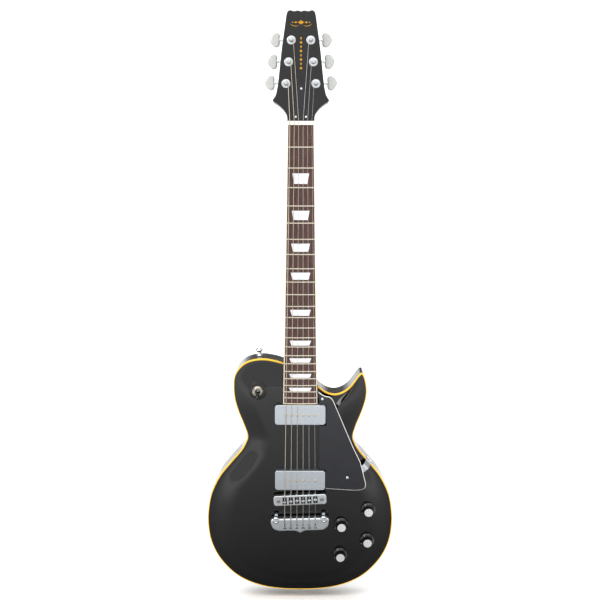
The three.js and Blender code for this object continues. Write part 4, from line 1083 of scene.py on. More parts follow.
    def inlays(self) -> None:
        """Makes the trapezoid inlays, wide side towards the nut."""
        blocks = Shape()
        for n in self.inlaid:
            before, after = fret_station(n - 1), fret_station(n)
            length = (after - before) * 0.535
            middle = (before + after) / 2 + 1.1
            wide = board_half(middle) - 9.35
            narrow = wide - 2.75
            rings = []
            for k in range(9):
                share = k / 4 - 1
                column = []
                for reach, along in ((wide, -length / 2), (narrow, length / 2)):
                    x = share * reach
                    y = self.crown_y(x)
                    column.append((x, y, -(middle + along)))
                (xa, ya, za), (xb, yb, zb) = column
                rings.append([Vector((xa, ya - 0.06, za)), Vector((xb, yb - 0.06, zb)),
                              Vector((xb, yb + 0.8, zb)), Vector((xa, ya + 0.8, za))])
            blocks.loft(rings)
        blocks.move(NECK).piece("pearl_inlays", PEARL, smooth=30)

    def side_dots(self) -> None:
        """Makes the black dots in the bass edge of the board."""
        dots = Shape()
        for n in self.inlaid:
            middle = (fret_station(n - 1) + fret_station(n)) / 2
            for shift in ((-3.0, 3.0) if n == 12 else (0.0,)):
                x = -board_half(middle + shift)
                dots.rod(1.0, (-0.6, 0.05), (x, 3.2, -(middle + shift)), (-1, 0, 0), 16)
        dots.move(NECK).piece("side_dots", HOLLOW)

    def nut(self) -> None:
        """Makes the bone nut with its six slots."""
        top, length = -self.nut_top, self.nut_length - GAP
        profile = [(BOARD_THICK, 0), (top + 0.5, 0), (top + 0.1, 0.5), (top, 1.2), (top + 0.5, 3.4),
                   (top + 1.7, length - 0.4), (top + 2.4, length), (BOARD_THICK, length)]
        half = NUT_WIDTH / 2
        bone = Shape().loft([[Vector((side * half, y, z)) for y, z in profile] for side in (-1, 1)])
        bone.bevel(0.4, 2, 60)
        tools = []
        for i, radius in enumerate(STRING_RADII):
            x = string_x(i, NUT_SPAN)
            floor = -NUT_ACTION + radius + 0.2
            wide = radius + 0.25
            cut = [(-9, -1), (floor, -1), (floor, 0.6), (floor + 2.6, length + 2), (-9, length + 2)]
            tools.append(Shape().loft([[Vector((x + s * wide, y, z)) for y, z in cut] for s in (-1, 1)]))
        bone.combine(tools).move(NECK).piece("bone_nut", BONE, replaces=["nut"], smooth=30)

    def truss_cover(self) -> None:
        """Makes the bell-shaped cover of the truss rod with its three screws."""
        right = [(12, 1), (12, 7), (11.4, 13), (9.8, 21), (7.9, 30), (6.4, 40), (5.6, 49), (5.2, 53),
                 (3.4, 56.4), (0, 57.5)]
        curve = [(12, 1), *flat_spline(right[1:], 4)]
        outline = curve + [(-x, v) for x, v in reversed(curve[:-1])]
        cover = Shape().plate(outline, -2.3, -0.3)
        cover.bevel(0.7, 3, 50, in_front(-2.2))
        cover.move(HEAD).piece("truss_bell_cover", GUARD_FACE, replaces=["truss_rod_cover"])
        screws = Shape()
        for x, v, turn in ((0.6, 51.5, 0.3), (-8.2, 5.6, 0.9), (8.2, 5.6, 0.1)):
            place = HEAD @ Vector((x, -2.25, v))
            screws.add(Screw(radius=1.9, dome=0.8).shape(place, HEAD.to_3x3() @ Vector((0, -1, 0)), turn))
        screws.piece("truss_cover_screws", CHROME)

    def ornament(self) -> None:
        """Makes a plain gold divider and a row of lozenges on the headstock's face."""
        foil = Shape()

        def lozenge(x: float, v: float, wide: float, tall: float) -> None:
            foil.plate([(x - wide, v), (x, v - tall), (x + wide, v), (x, v + tall)], -0.12, 0.1)

        for x, wide, tall in ((0, 5.2, 3.4), (-8.5, 2.4, 1.7), (8.5, 2.4, 1.7), (-13.6, 1.5, 1.1),
                              (13.6, 1.5, 1.1)):
            lozenge(x, 160.5, wide, tall)
        for side in (-1, 1):
            arc = flat_spline([(side * 3, 155.6), (side * 9, 154.6), (side * 15.5, 156.6),
                               (side * 17.6, 159.6)], 6)
            last = len(arc) - 1
            back = [(x, v - 0.8 * math.sin(math.pi * i / last) - 0.12) for i, (x, v) in enumerate(arc)]
            foil.plate(arc + back[::-1], -0.12, 0.1)
        for k, v in enumerate((134.5, 127.5, 120.5, 113.5, 106.5, 99.5, 92.5, 85.5)):
            lozenge(0, v, 1.5 + 0.9 * (k % 2), 2.5)
        foil.move(HEAD).piece("gold_divider", GOLD)

    def build(self) -> None:
        """Makes every piece of the neck."""
        self.wood()
        self.board()
        self.nut()
        self.truss_cover()
        self.ornament()


@dataclass
class Tuner:
    """One tuning machine: housing and washer, string post and button."""

    row: int
    side: int
    x: float
    v: float
    string: int
    washer: float = 7.2
    post: float = 3.1
    post_height: float = 9.0
    can: tuple[float, float, float] = (17.0, 11.0, 24.0)
    shaft_offset: float = 6.8
    button_width: float = 16.2
    button_length: float = 25.0
    button_thick: float = 7.0
    reach: float = 26.5
    back: float = 15.3

    @property
    def name(self) -> str:
        """Returns the machine's name, from its side and row."""
        return f"{'bass' if self.side < 0 else 'treble'}_{self.row}"

    def housing(self) -> None:
        """Makes the cast housing behind the headstock, with its sleeve, and the bushing in front."""
        across = self.side * self.x
        v = self.v
        w, d, h = self.can
        outline = rounded_rect(w, h, 4.5, across, v + 2.4)
        body = Shape().plate(outline, self.back, self.back + d)
        body.bevel(2.6, 4, 50, behind(self.back + d - 0.01))
        shaft_y = self.back + d / 2
        start = across + self.side * (w / 2 - 1)
        sleeve = Shape().turned([(2.6, 0), (4.2, 0), (4.2, 3.6), (3.7, 4.6), (3.3, 5), (2.6, 5)],
                                (start, shaft_y, v + self.shaft_offset), (self.side, 0, 0), 28, True)
        bushing = Shape().turned([(3.5, 16), (4.7, 16), (4.7, 0), (3.5, 0)], (across, 0, v), (0, 1, 0), 28,
                                 True)
        r = self.washer
        washer = Shape().turned(
            [(3.5, 0.3), (r, 0.3), (r, -0.6), (r - 0.25, -0.95), (r - 0.7, -1.1), (5.6, -1.15), (5.45, -1.3),
             (5.3, -2.2), (4.9, -2.5), (3.7, -2.5), (3.5, -2.3)],
            (across, -0.3, v), (0, 1, 0), 48, True)
        screw = Screw(radius=2.2, dome=0.5, cross=False).shape(Vector((across, self.back + d - 0.1, v - 2)),
                                                               Vector((0, 1, 0)), 0.8)
        body.add(sleeve).add(bushing).add(washer).add(screw).move(HEAD)
        body.piece(f"tuner_case_{self.name}", CHROME, replaces=[f"tuner_housing_{self.name}"])

    def string_post(self) -> None:
        """Makes the waisted post with its string hole, and the turns of string on it."""
        across = self.side * self.x
        r, h = self.post, self.post_height
        post = Shape().turned(
            [(0, 19.3), (r, 19.3), (r, -2.2), (r - 0.2, -2.8), (r - 0.55, -3.6), (r - 0.6, -4.75),
             (r - 0.5, -5.9), (r - 0.1, -6.5), (r, -6.9), (r, -h + 0.6), (r - 0.25, -h + 0.15), (r - 0.7, -h),
             (0, -h)],
            (across, 0, self.v), (0, 1, 0), 32)
        hole = Shape().rod(0.75, (-6, 6), (across, -4.6, self.v), (self.side * 0.6, 0, -1), 12)
        slot = Shape().block((0.9, 1.6, 9), (across, -h, self.v))
        post.combine([hole, slot]).move(HEAD)
        post.piece(f"post_{self.name}", CHROME, f"post_{self.name}", [f"tuner_post_{self.name}"])
        radius = STRING_RADII[self.string]
        turns = 3.2 if radius > 0.4 else 4.2
        steps = int(turns * 20)
        pitch = 2 * radius + 0.06
        reach = r - 0.5 + radius
        path = []
        for k in range(steps + 1):
            a = math.tau * k / 20
            depth = -4.75 + pitch * (turns / 2 - k / 20) * 0.82
            path.append(Vector((across + reach * math.cos(a), depth, self.v + reach * math.sin(a))))
        coil = Shape().sweep(path, radius * 0.98, 8).move(HEAD)
        finish = WOUND if self.string < 3 else WIRE
        coil.piece(f"string_turns_{self.name}", finish, f"post_{self.name}", smooth=60)

    def button(self) -> None:
        """Makes the half-moon button with its shaft and collar."""
        across = self.side * self.x
        side = self.side
        z = self.v + self.shaft_offset
        flat = across + side * (self.reach - self.button_width / 2)
        half = self.button_length / 2
        w = self.button_width
        upper = [(0.3, half * 0.42), (0.8, half * 0.7), (2.4, half * 0.9), (5.4, half), (9.0, half * 0.95),
                 (12.0, half * 0.78), (w * 0.89, half * 0.52), (w * 0.97, half * 0.26)]
        rim = flat_spline([(0.6, 0), *upper, (w, 0), *((a, -b) for a, b in reversed(upper))], 4, True)
        outline = [(flat + side * a, z + b) for a, b in rim]
        shaft_y = self.back + self.can[1] / 2
        t = self.button_thick / 2
        head = Shape().plate(outline, shaft_y - t, shaft_y + t)
        head.bevel(2.5, 5, 50, lambda e: abs(e.verts[0].co.y - e.verts[1].co.y) < 0.01)
        start = across + side * (self.can[0] / 2 + 4.3)
        long = abs(flat - start)
        stem = Shape().turned(
            [(0, -9), (2.2, -9), (2.2, 0), (2.7, 0), (2.7, long * 0.35), (2.35, long * 0.45),
             (2.35, long * 0.7), (3.1, long * 0.8), (3.1, long + 1.2), (0, long + 1.2)],
            (start, shaft_y, z), (side, 0, 0), 28)
        cap = Screw(radius=1.9, dome=0.6, depth=0.8).shape(Vector((flat + side * (w - 0.3), shaft_y, z)),
                                                           Vector((side, 0, 0)), 0.5)
        stem.add(cap).move(HEAD).piece(f"button_stem_{self.name}", CHROME, f"button_{self.name}")
        head.move(HEAD).piece(f"button_head_{self.name}", BUTTON, f"button_{self.name}",
                              [f"tuner_button_{self.name}"], smooth=40)

    def build(self) -> None:
        """Makes the machine's pieces."""
        self.housing()
        self.string_post()
        self.button()


# ---------------------------------------------------------------------------------------------- hardware


@dataclass
class Pickup:
    """A covered single-coil pickup with six pole screws."""

    name: str
    station: float
    rise: float
    width: float = 85.5
    length: float = 35.0
    corner: float = 4.8
    pole: float = 2.1

    def build(self) -> None:
        """Makes the cover and the pole screws."""
        z = station_z(self.station)
        front = TOP_Y - self.rise
        cover = Shape().plate(rounded_rect(self.width, self.length, self.corner, 0, z), front, 2)
        cover.bevel(1.3, 4, 50, in_front(front + 0.01))
        span = NUT_SPAN + (BRIDGE_SPAN - NUT_SPAN) * self.station / SCALE
        holes = []
        poles = Shape()
        out = Vector((0, -1, 0))
        for i in range(6):
            x = string_x(i, span)
            holes.append(Shape().rod(self.pole + 0.25, (-1, 1.2), (x, front, z), sides=28))
            screw = Screw(radius=self.pole, dome=0.7, cross=False)
            poles.add(screw.shape(Vector((x, front + 0.25, z)), out, 0.15 + 0.35 * math.sin(5 * i)))
        cover.combine(holes)
        cover.piece(f"{self.name}_cover_shell", SATIN, replaces=[f"{self.name}_cover"])
        poles.piece(f"{self.name}_pole_screws", POLE)


def slant_frame(slant: float, h: float) -> Matrix:
    """Returns the frame of a bar that is slanted across the strings at a height above the bridge line."""
    return Matrix.Translation((0, 0, BRIDGE_Z + h)) @ Matrix.Rotation(-math.radians(slant), 4, "Y")


@dataclass
class Bridge:
    """The bridge bar on its two posts, with six sliding saddles and their screws."""

    width: float = 91.0
    length: float = 18.4
    height: float = 8.5
    clear: float = 5.5
    slant: float = 2.7
    h: float = -4.5
    posts: float = 74.0
    post_radius: float = 3.0
    saddle: tuple[float, float, float] = (6.6, 5.2, 4.0)
    travel: float = 3.9
    rest: tuple[float, ...] = (-1.6, -0.8, 0.0, -0.9, -0.2, 0.6)

    @property
    def frame(self) -> Matrix:
        """Returns the bar's own frame."""
        return slant_frame(self.slant, self.h)

    @property
    def back(self) -> float:
        """Returns the depth of the bar's back."""
        return TOP_Y - self.clear

    @property
    def front(self) -> float:
        """Returns the depth of the bar's front."""
        return self.back - self.height

    def bar(self) -> None:
        """Makes the bar with its saddle slots and post holes."""
        outline = rounded_rect(self.width, self.length, 5.0, steps=10)
        bar = Shape().plate(outline, self.front, self.back)
        bar.bevel(1.5, 4, 50, in_front(self.front + 0.01))
        tools = []
        cos = math.cos(math.radians(self.slant))
        w, _, l = self.saddle
        for i in range(6):
            x = string_x(i, BRIDGE_SPAN) / cos
            room = Shape().block((w + 0.8, 16, 2 * self.travel + l + 1.0), (x, self.front + 4, 0))
            tools.append(room)
        for side in (-1, 1):
            x = side * self.posts / 2
            tools.append(Shape().rod(self.post_radius + GAP, (-60, 0), (x, 0, 0)))
        bar.combine(tools).move(self.frame)
        bar.piece("bridge_bar", CHROME, replaces=["bridge_body"], smooth=30)

    def saddles(self) -> None:
        """Makes the saddles, each with its notch, and the screws that set them."""
        cos = math.cos(math.radians(self.slant))
        w, depth, l = self.saddle
        screws = Shape()
        for i, name in enumerate(STRING_NAMES):
            x = string_x(i, BRIDGE_SPAN) / cos
            crest = STRING_Y + 0.2
            floor = self.front + depth - GAP
            low = self.front - 0.4
            profile = [(floor, -l / 2), (floor, l / 2), (low, l / 2), (low - 0.9, l / 2 - 0.25),
                       (crest + 0.35, 0.85), (crest, 0.45), (crest, -0.3), (crest + 0.5, -0.75),
                       (low - 0.9, -l / 2 + 0.2), (low, -l / 2)]
            half = w / 2 - 1.0
            block = Shape().loft([[Vector((x + s * half, y, z)) for y, z in profile] for s in (-1, 1)])
            block.bevel(0.35, 2, 60)
            radius = STRING_RADII[i]
            wide = radius + 0.45
            notch = Shape().loft([
                [Vector((x - wide - 1.2, STRING_Y - 3, z)), Vector((x + wide + 1.2, STRING_Y - 3, z)),
                 Vector((x + wide, STRING_Y + radius + 0.9, z)),
                 Vector((x - wide, STRING_Y + radius + 0.9, z))]
                for z in (-l, l)])
            bore = Shape().rod(1.1, (-5, 5), (x, floor - 2.3, 0), (0, 0, 1), 16)
            block.combine([notch, bore])
            block.move(self.frame @ Matrix.Translation((0, 0, self.rest[i])))
            block.piece(f"saddle_crest_{name}", CHROME, f"saddle_block_{name}", [f"saddle_{name}"], smooth=30)
            reach = self.travel + l / 2
            screws.rod(0.85, (-reach - 0.2, reach - 0.3), (x, floor - 2.3, 0), (0, 0, 1), 14)
        screws.move(self.frame).piece("intonation_screws", STEEL)

    def intonation_heads(self) -> None:
        """Makes the slotted heads of the saddle screws on the bar's upper face."""
        cos = math.cos(math.radians(self.slant))
        heads = Shape()
        for i in range(6):
            x = string_x(i, BRIDGE_SPAN) / cos
            heads.add(Screw(radius=1.6, dome=0.9, depth=0.2, cross=False).shape(
                Vector((x, self.front + 3.6, self.length / 2 + 0.05)), Vector((0, 0, 1)), 0.4 * i))
        heads.move(self.frame).piece("intonation_heads", CHROME)

    def post(self, side: int, name: str) -> None:
        """Makes one height post with its wheel.

        Args:
            side: -1 for the bass end, 1 for the treble end.
            name: the end's name.
        """
        place = self.frame @ Vector((side * self.posts / 2, 0, 0))
        r, front, back = self.post_radius, self.front, self.back
        profile = [(0, front - 0.2), (r - 0.45, front - 0.2), (r, front + 0.25), (r, back + GAP),
                   (7.1, back + GAP), (7.5, back + GAP + 0.4), (7.5, back + GAP + 1.8),
                   (7.1, back + GAP + 2.2), (r, back + GAP + 2.2), (r, 14), (0, 14)]
        post = Shape().turned(profile, (0, 0, 0), (0, 1, 0), 40)
        post.combine([Shape().block((8.3, 1.7, 0.9), (0.01, front - 0.52, 0.02))])
        post.move(Matrix.Translation((place.x, 0, place.z)))
        post.piece(f"bridge_height_post_{name}", STEEL, replaces=[f"bridge_post_{name}"], smooth=35)

    def build(self) -> None:
        """Makes the bridge's pieces."""
        self.bar()
        self.saddles()
        self.intonation_heads()
        self.post(-1, "bass")
        self.post(1, "treble")


@dataclass
class Tailpiece:
    """The stop tailpiece with its ball-end slots, on two studs."""

    width: float = 101.0
    length: float = 23.4
    height: float = 12.0
    clear: float = 4.5
    slant: float = 1.5
    h: float = -48.6
    studs: float = 82.0
    stud_up: float = 9.0
    stud_radius: float = 5.4

    @property
    def frame(self) -> Matrix:
        """Returns the tailpiece's own frame."""
        return slant_frame(self.slant, self.h)

    @property
    def back(self) -> float:
        """Returns the depth of its back."""
        return TOP_Y - self.clear

    @property
    def front(self) -> float:
        """Returns the depth of its front."""
        return self.back - self.height

    def outline(self) -> list[tuple[float, float]]:
        """Returns its outline: square shoulders, drawn-in lower ends and a shallow point below."""
        half, top, low = self.width / 2, self.length / 2, -self.length / 2
        right = [(0, low - 4.4), (3.4, low - 2.7), (7.0, low - 0.6), (11, low), (half - 17, low)]
        right += flat_spline([(half - 13.5, low + 0.2), (half - 7.5, low + 2.2), (half - 2.8, low + 6.8),
                              (half - 0.2, top - 8.5)], 5)
        right += flat_spline([(half, top - 5.5), (half - 0.8, top - 2.2), (half - 3.4, top - 0.3),
                              (half - 7, top)], 4)
        return right + [(-x, z) for x, z in reversed(right[1:])]

    def bar(self) -> None:
        """Makes the cast bar with rounded edges, string slots and stud forks."""
        bar = Shape().plate(self.outline(), self.front, self.back)
        bar.bevel(3.0, 6, 50, in_front(self.front + 0.01))
        low = -self.length / 2 + 6
        cos = math.cos(math.radians(self.slant))
        tools = []
        for i in range(6):
            x = string_x(i, BRIDGE_SPAN) / cos
            tools.append(Shape().block((2.3, 11, self.length), (x, self.front + 2.4, low + self.length / 2)))
            tools.append(Shape().plate([(x - 3.1, low - 1.6), (x + 3.1, low - 1.6), (x + 2.0, low + 1.6),
                                        (x - 2.0, low + 1.6)],
                                       self.front - 3, self.front + 7.9))
        for side in (-1, 1):
            x = side * self.studs / 2
            r = self.stud_radius
            tools.append(Shape().turned(
                [(0, -60), (r + GAP, -60), (r + GAP, self.front + 3), (r - 2 + GAP, self.front + 3),
                 (r - 2 + GAP, 0), (0, 0)],
                (x, 0, self.stud_up), (0, 1, 0), 40))
            tools.append(Shape().block((2 * (r + GAP), 60 + self.front + 3, 20),
                                       (x, (self.front + 3 - 60) / 2, self.stud_up + 10)))
            tools.append(Shape().block((2 * (r - 2 + GAP), 60, 20), (x, -30, self.stud_up + 10)))
        bar.combine(tools).move(self.frame)
        bar.piece("tailpiece_bar", CHROME, replaces=["tailpiece"], smooth=32)

    def stud(self, side: int, name: str) -> None:
        """Makes one stud with its slotted head.

        Args:
            side: -1 for the bass end, 1 for the treble end.
            name: the end's name.
        """
        place = self.frame @ Vector((side * self.studs / 2, 0, self.stud_up))
        r, front = self.stud_radius, self.front
        profile = [(0, front - 0.3), (r - 2.1, front - 0.3), (r - 1.7, front - 0.8), (r - 0.9, front - 0.8),
                   (r, front + 0.1), (r, front + 3 - GAP), (r - 2, front + 3 - GAP), (r - 2, TOP_Y - 0.9),
                   (r, TOP_Y - 0.9), (r, 14), (0, 14)]
        stud = Shape().turned(profile, (0, 0, 0), (0, 1, 0), 48)
        stud.combine([Shape().block((2 * r + 2.3, 2.2, 1.6), (0.01, front - 0.1, 0.02))])
        stud.move(Matrix.Translation((place.x, 0, place.z)))
        stud.piece(f"stop_stud_{name}", CHROME, replaces=[f"tailpiece_stud_{name}"], smooth=32)

    def ball_ends(self) -> None:
        """Makes the ball of each string in its slot, in plated steel."""
        balls = Shape()
        cos = math.cos(math.radians(self.slant))
        for i in range(6):
            x = string_x(i, BRIDGE_SPAN) / cos
            balls.turned([(0.9, -1.5), (1.7, -1.5), (2.05, -0.9), (1.8, 0), (2.05, 0.9), (1.7, 1.5),
                          (0.9, 1.5)],
                         (x, self.front + 5.4, -self.length / 2 + 6), (1, 0, 0), 20, True)
        balls.move(self.frame).piece("ball_ends", STEEL)

    def build(self) -> None:
        """Makes the tailpiece's pieces."""
        self.bar()
        self.stud(-1, "bass")
        self.stud(1, "treble")
        self.ball_ends()


@dataclass
class Guard:
    """The raised pickguard with its screws and its bracket to the rim."""

    thick: float = 3.0
    clear: float = 5.0

    def outline(self) -> list[tuple[float, float]]:
        """Returns the guard's outline, cut round the two pickups."""
        neck, bridge = PICKUPS
        neck_z, bridge_z = station_z(neck.station), station_z(bridge.station)
        half = neck.length / 2 + 1
        edge = neck.width / 2 + 1
        h = BRIDGE_Z
        points = [(30.6, neck_z + 41), (32, neck_z + half), (edge, neck_z + half), (edge, neck_z - half),
                  (32, neck_z - half), (32, bridge_z + half), (edge, bridge_z + half), (edge, h + 15),
                  (edge + 1, h + 14), (93.7, h + 11.1), (105, h + 12), (111, h + 14.5), (113, h + 22),
                  (102.8, h + 62.3), (90.3, h + 88.8), (55.2, neck_z + 26.6), (50.5, neck_z + 32.2),
                  (42.3, neck_z + 33.3), (36, neck_z + 36.4)]
        return corner(points, {10: 7, 11: 7, 12: 12, 15: 4, 16: 6, 17: 4, 18: 4}, 6)

    def outer(self, edge: bmesh.types.BMEdge, front: float) -> bool:
        """Returns whether an edge of the sheet is on its bevelled outer side.

        Args:
            edge: an edge of the form.
            front: the depth of the sheet's face.
        """
        if any(v.co.y > front + 0.01 for v in edge.verts):
            return False
        middle = (edge.verts[0].co + edge.verts[1].co) / 2
        reach = PICKUPS[0].width / 2 + 1.2
        inner = middle.x < reach and middle.z < station_z(PICKUPS[0].station) + 20
        return not inner and (middle.x > 31.5 or middle.z > station_z(PICKUPS[0].station) + 33)

    def build(self) -> None:
        """Makes the three-ply sheet, its screws and the bracket."""
        back = TOP_Y - self.clear
        front = back - self.thick
        sheet = Shape().plate(self.outline(), front, back)
        sheet.bevel(0.9, 1, 50, lambda e: self.outer(e, front))
        sheet.weld()
        for face in sheet.bm.faces:
            slope = abs(face.normal.y)
            face.material_index = 1 if 0.3 < slope < 0.9 else 0
        sheet.piece("guard_sheet", GUARD_FACE, replaces=["pickguard"], others=[GUARD_EDGE], smooth=20)
        screws = Shape()
        out = Vector((0, -1, 0))
        for x, h, turn in ((37.1, 175.0, 0.5), (80.7, 34.4, 1.1)):
            screws.add(Screw(radius=2.5, dome=1.1).shape(Vector((x, front - 0.05, BRIDGE_Z + h)), out, turn))
        screws.piece("guard_screws", CHROME)
        self.bracket(back)

    def bracket(self, back: float) -> None:
        """Makes the bent arm that carries the guard from the rim.

        Args:
            back: the depth of the guard's back.
        """
        along = Vector((0.77, 0, 0.64)).normalized()
        across = Vector((-along.z, 0, along.x)) * 5.8
        outer = Vector((117.9, 0, BRIDGE_Z + 57.9))
        path = [(-20, back + 0.9), (-9, back + 0.9), (-7.6, back + 1.2), (-6.4, back + 2.4), (-1.8, -2.6),
                (-0.6, -1.9), (0.7, -1.5), (1.3, -0.6), (1.45, 0.8), (1.45, 12)]
        rings = []
        for k, (t, y) in enumerate(path):
            before = path[max(k - 1, 0)]
            after = path[min(k + 1, len(path) - 1)]
            run = Vector((after[0] - before[0], after[1] - before[1])).normalized()
            off = along * (-run.y * 0.6) + Vector((0, run.x * 0.6, 0))
            middle = outer + along * t + Vector((0, y, 0))
            rings.append([middle - across - off, middle + across - off, middle + across + off,
                          middle - across + off])
        arm = Shape().loft(rings).bevel(0.3, 2, 60)
        arm.add(Screw(radius=2.6, dome=1.2).shape(outer + along * 2.05 + Vector((0, 7.5, 0)), along, 0.7))
        arm.piece("guard_bracket", CHROME, smooth=40)


@dataclass
class Knob:
    """A control knob: black skirt and barrel with a bright cap and printed marks."""

    name: str
    x: float
    h: float
    skirt: float = 12.65
    cap: float = 8.4
    height: float = 15.0
    lift: float = 1.2

    def build(self) -> None:
        """Makes the barrel, the cap and the marks, all on the knob's body."""
        z = BRIDGE_Z + self.h
        back = TOP_Y - self.lift
        top = back - self.height
        r, s = self.cap, self.skirt
        body = f"knob_body_{self.name}"
        profile = [(3.3, back), (3.3, TOP_Y - 11.3), (0, TOP_Y - 11.3), (0, top + 0.5), (r - 1.1, top + 0.5),
                   (r - 1.0, top), (r - 0.35, top + 0.1), (r, top + 0.7), (r + 0.45, back - 5.2),
                   (r + 1.1, back - 4.2), (r + 2.2, back - 3.6), (s - 0.9, back - 2.4), (s - 0.2, back - 1.7),
                   (s, back - 1.0), (s, back)]
        barrel = Shape().turned(profile, (self.x, 0, z), (0, 1, 0), 72, True)
        barrel.piece(f"knob_barrel_{self.name}", ABS, body, [f"knob_{self.name}"], smooth=35)
        cap = Shape().turned([(0, top + 0.45), (r - 1.15, top + 0.45), (r - 1.25, top + 0.02),
                              (r - 1.9, top - 0.12), (r * 0.45, top - 0.02),
                              (0, top + 0.02)], (self.x, 0, z), (0, 1, 0), 64)
        cap.piece(f"knob_cap_{self.name}", CAP, body, smooth=35)
        self.marks(z, back, body)

    def marks(self, z: float, back: float, body: str) -> None:
        """Makes the printed ticks and figures round the skirt.

        Args:
            z: the knob's height in the frame.
            back: the depth of the skirt's rim.
            body: the body that the knob rides on.
        """
        marks = Shape()
        slope = math.atan2(1.2, self.skirt - 0.9 - self.cap - 2.2)
        for k in range(11):
            a = math.radians(-60 + 30 * k)
            tick = Shape().block((0.5, 0.12, 1.1), (0, 0, self.skirt - 1.5))
            marks.add(self.turn(tick, a, back - 2.36, z))
            text = bpy.data.curves.new("figure", "FONT")
            text.body = str(k)
            text.size = 2.3
            text.align_x = "CENTER"
            text.align_y = "CENTER"
            text.extrude = 0.05
            text.resolution_u = 2
            holder = bpy.data.objects.new("figure", text)
            bpy.context.scene.collection.objects.link(holder)
            bpy.context.view_layer.update()
            graph = bpy.context.evaluated_depsgraph_get()
            mesh = bpy.data.meshes.new_from_object(holder.evaluated_get(graph))
            figure = Shape()
            figure.bm.from_mesh(mesh)
            bpy.data.objects.remove(holder)
            bpy.data.curves.remove(text)
            bpy.data.meshes.remove(mesh)
            figure.move(Matrix.Rotation(math.pi / 2, 4, "X"))
            figure.move(Matrix.Translation((0, 0, self.cap + 2.55)) @ Matrix.Rotation(slope * 0.9, 4, "X"))
            marks.add(self.turn(figure, a, back - 3.3, z))
        marks.piece(f"knob_marks_{self.name}", PRINT, body, even=False)

    def turn(self, form: Shape, angle: float, depth: float, z: float) -> Shape:
        """Places a mark round the knob.

        Args:
            form: the mark, drawn above the knob's axis.
            angle: how far round it goes.
            depth: its depth in the frame.
            z: the knob's height in the frame.

        Returns:
            The mark.
        """
        return form.move(Matrix.Translation((self.x, depth, z)) @ Matrix.Rotation(angle, 4, "Y"))


@dataclass
class Toggle:
    """The pickup switch: black ring, knurled nut and tipped lever."""

    x: float = -71.6
    h: float = 187.0
    ring: float = 15.5
    nut: float = 9.3
    tilt: float = 14.0

    def build(self) -> None:
        """Makes the switch's pieces."""
        z = BRIDGE_Z + self.h
        place = (self.x, 0, z)
        ring = Shape().turned([(6.4, TOP_Y - GAP), (6.4, TOP_Y - 1.9), (9.8, TOP_Y - 2.0),
                               (12.4, TOP_Y - 1.8), (self.ring - 1.1, TOP_Y - 1.2),
                               (self.ring - 0.2, TOP_Y - 0.7), (self.ring, TOP_Y - GAP)], place, (0, 1, 0),
                              72, True)
        ring.piece("switch_ring", ABS, smooth=35)
        nut = Shape().turned(
            [(4.6, TOP_Y - 7), (5.0, TOP_Y - 7.3), (6.4, TOP_Y - 7.2), (7.6, TOP_Y - 6.5),
             (self.nut - 0.5, TOP_Y - 5), (self.nut, TOP_Y - 4.3), (self.nut, TOP_Y - 2.4),
             (self.nut - 0.4, TOP_Y - 2.0), (6.3, TOP_Y - 2.0), (6.3, TOP_Y + 13),
             (4.6, TOP_Y + 13)], place, (0, 1, 0), 60, True)
        grooves = []
        for k in range(20):
            a = math.tau * k / 20
            grooves.append(Shape().block((0.7, 3.2, 0.7), (self.x + self.nut * math.cos(a), TOP_Y - 3.2,
                                                           z + self.nut * math.sin(a))))
        nut.combine(grooves)
        frame_box = Shape().turned([(0, TOP_Y + 13.2), (14, TOP_Y + 13.2), (14, TOP_Y + 15), (10, TOP_Y + 15),
                                    (10, TOP_Y + 34), (0, TOP_Y + 34)],
                                   place, (0, 1, 0), 28)
        nut.add(frame_box).piece("switch_nut", WARM_NICKEL, replaces=["toggle_switch_frame"], smooth=30)
        tilt = math.radians(self.tilt)
        pivot = (self.x, TOP_Y - 1, z)
        out = (0, -math.cos(tilt), -math.sin(tilt))
        stem = Shape().turned([(0, -9), (1.6, -9), (1.6, -3.4), (2.7, -2.6), (3.4, -1.2), (3.4, 1.2),
                               (2.7, 2.6), (1.6, 3.4), (1.6, 10.4), (0, 10.4)],
                              pivot, out, 28)
        stem.piece("switch_stem", CHROME, "toggle_arm")
        tip = Shape().turned([(0, 10), (2.6, 10), (3.0, 10.5), (3.15, 13), (3.45, 18), (3.6, 21), (3.3, 22.8),
                              (2.5, 24.1), (1.3, 24.7), (0, 24.8)],
                             pivot, out, 36)
        tip.piece("switch_tip", ABS, "toggle_arm", ["toggle_lever"], smooth=50)


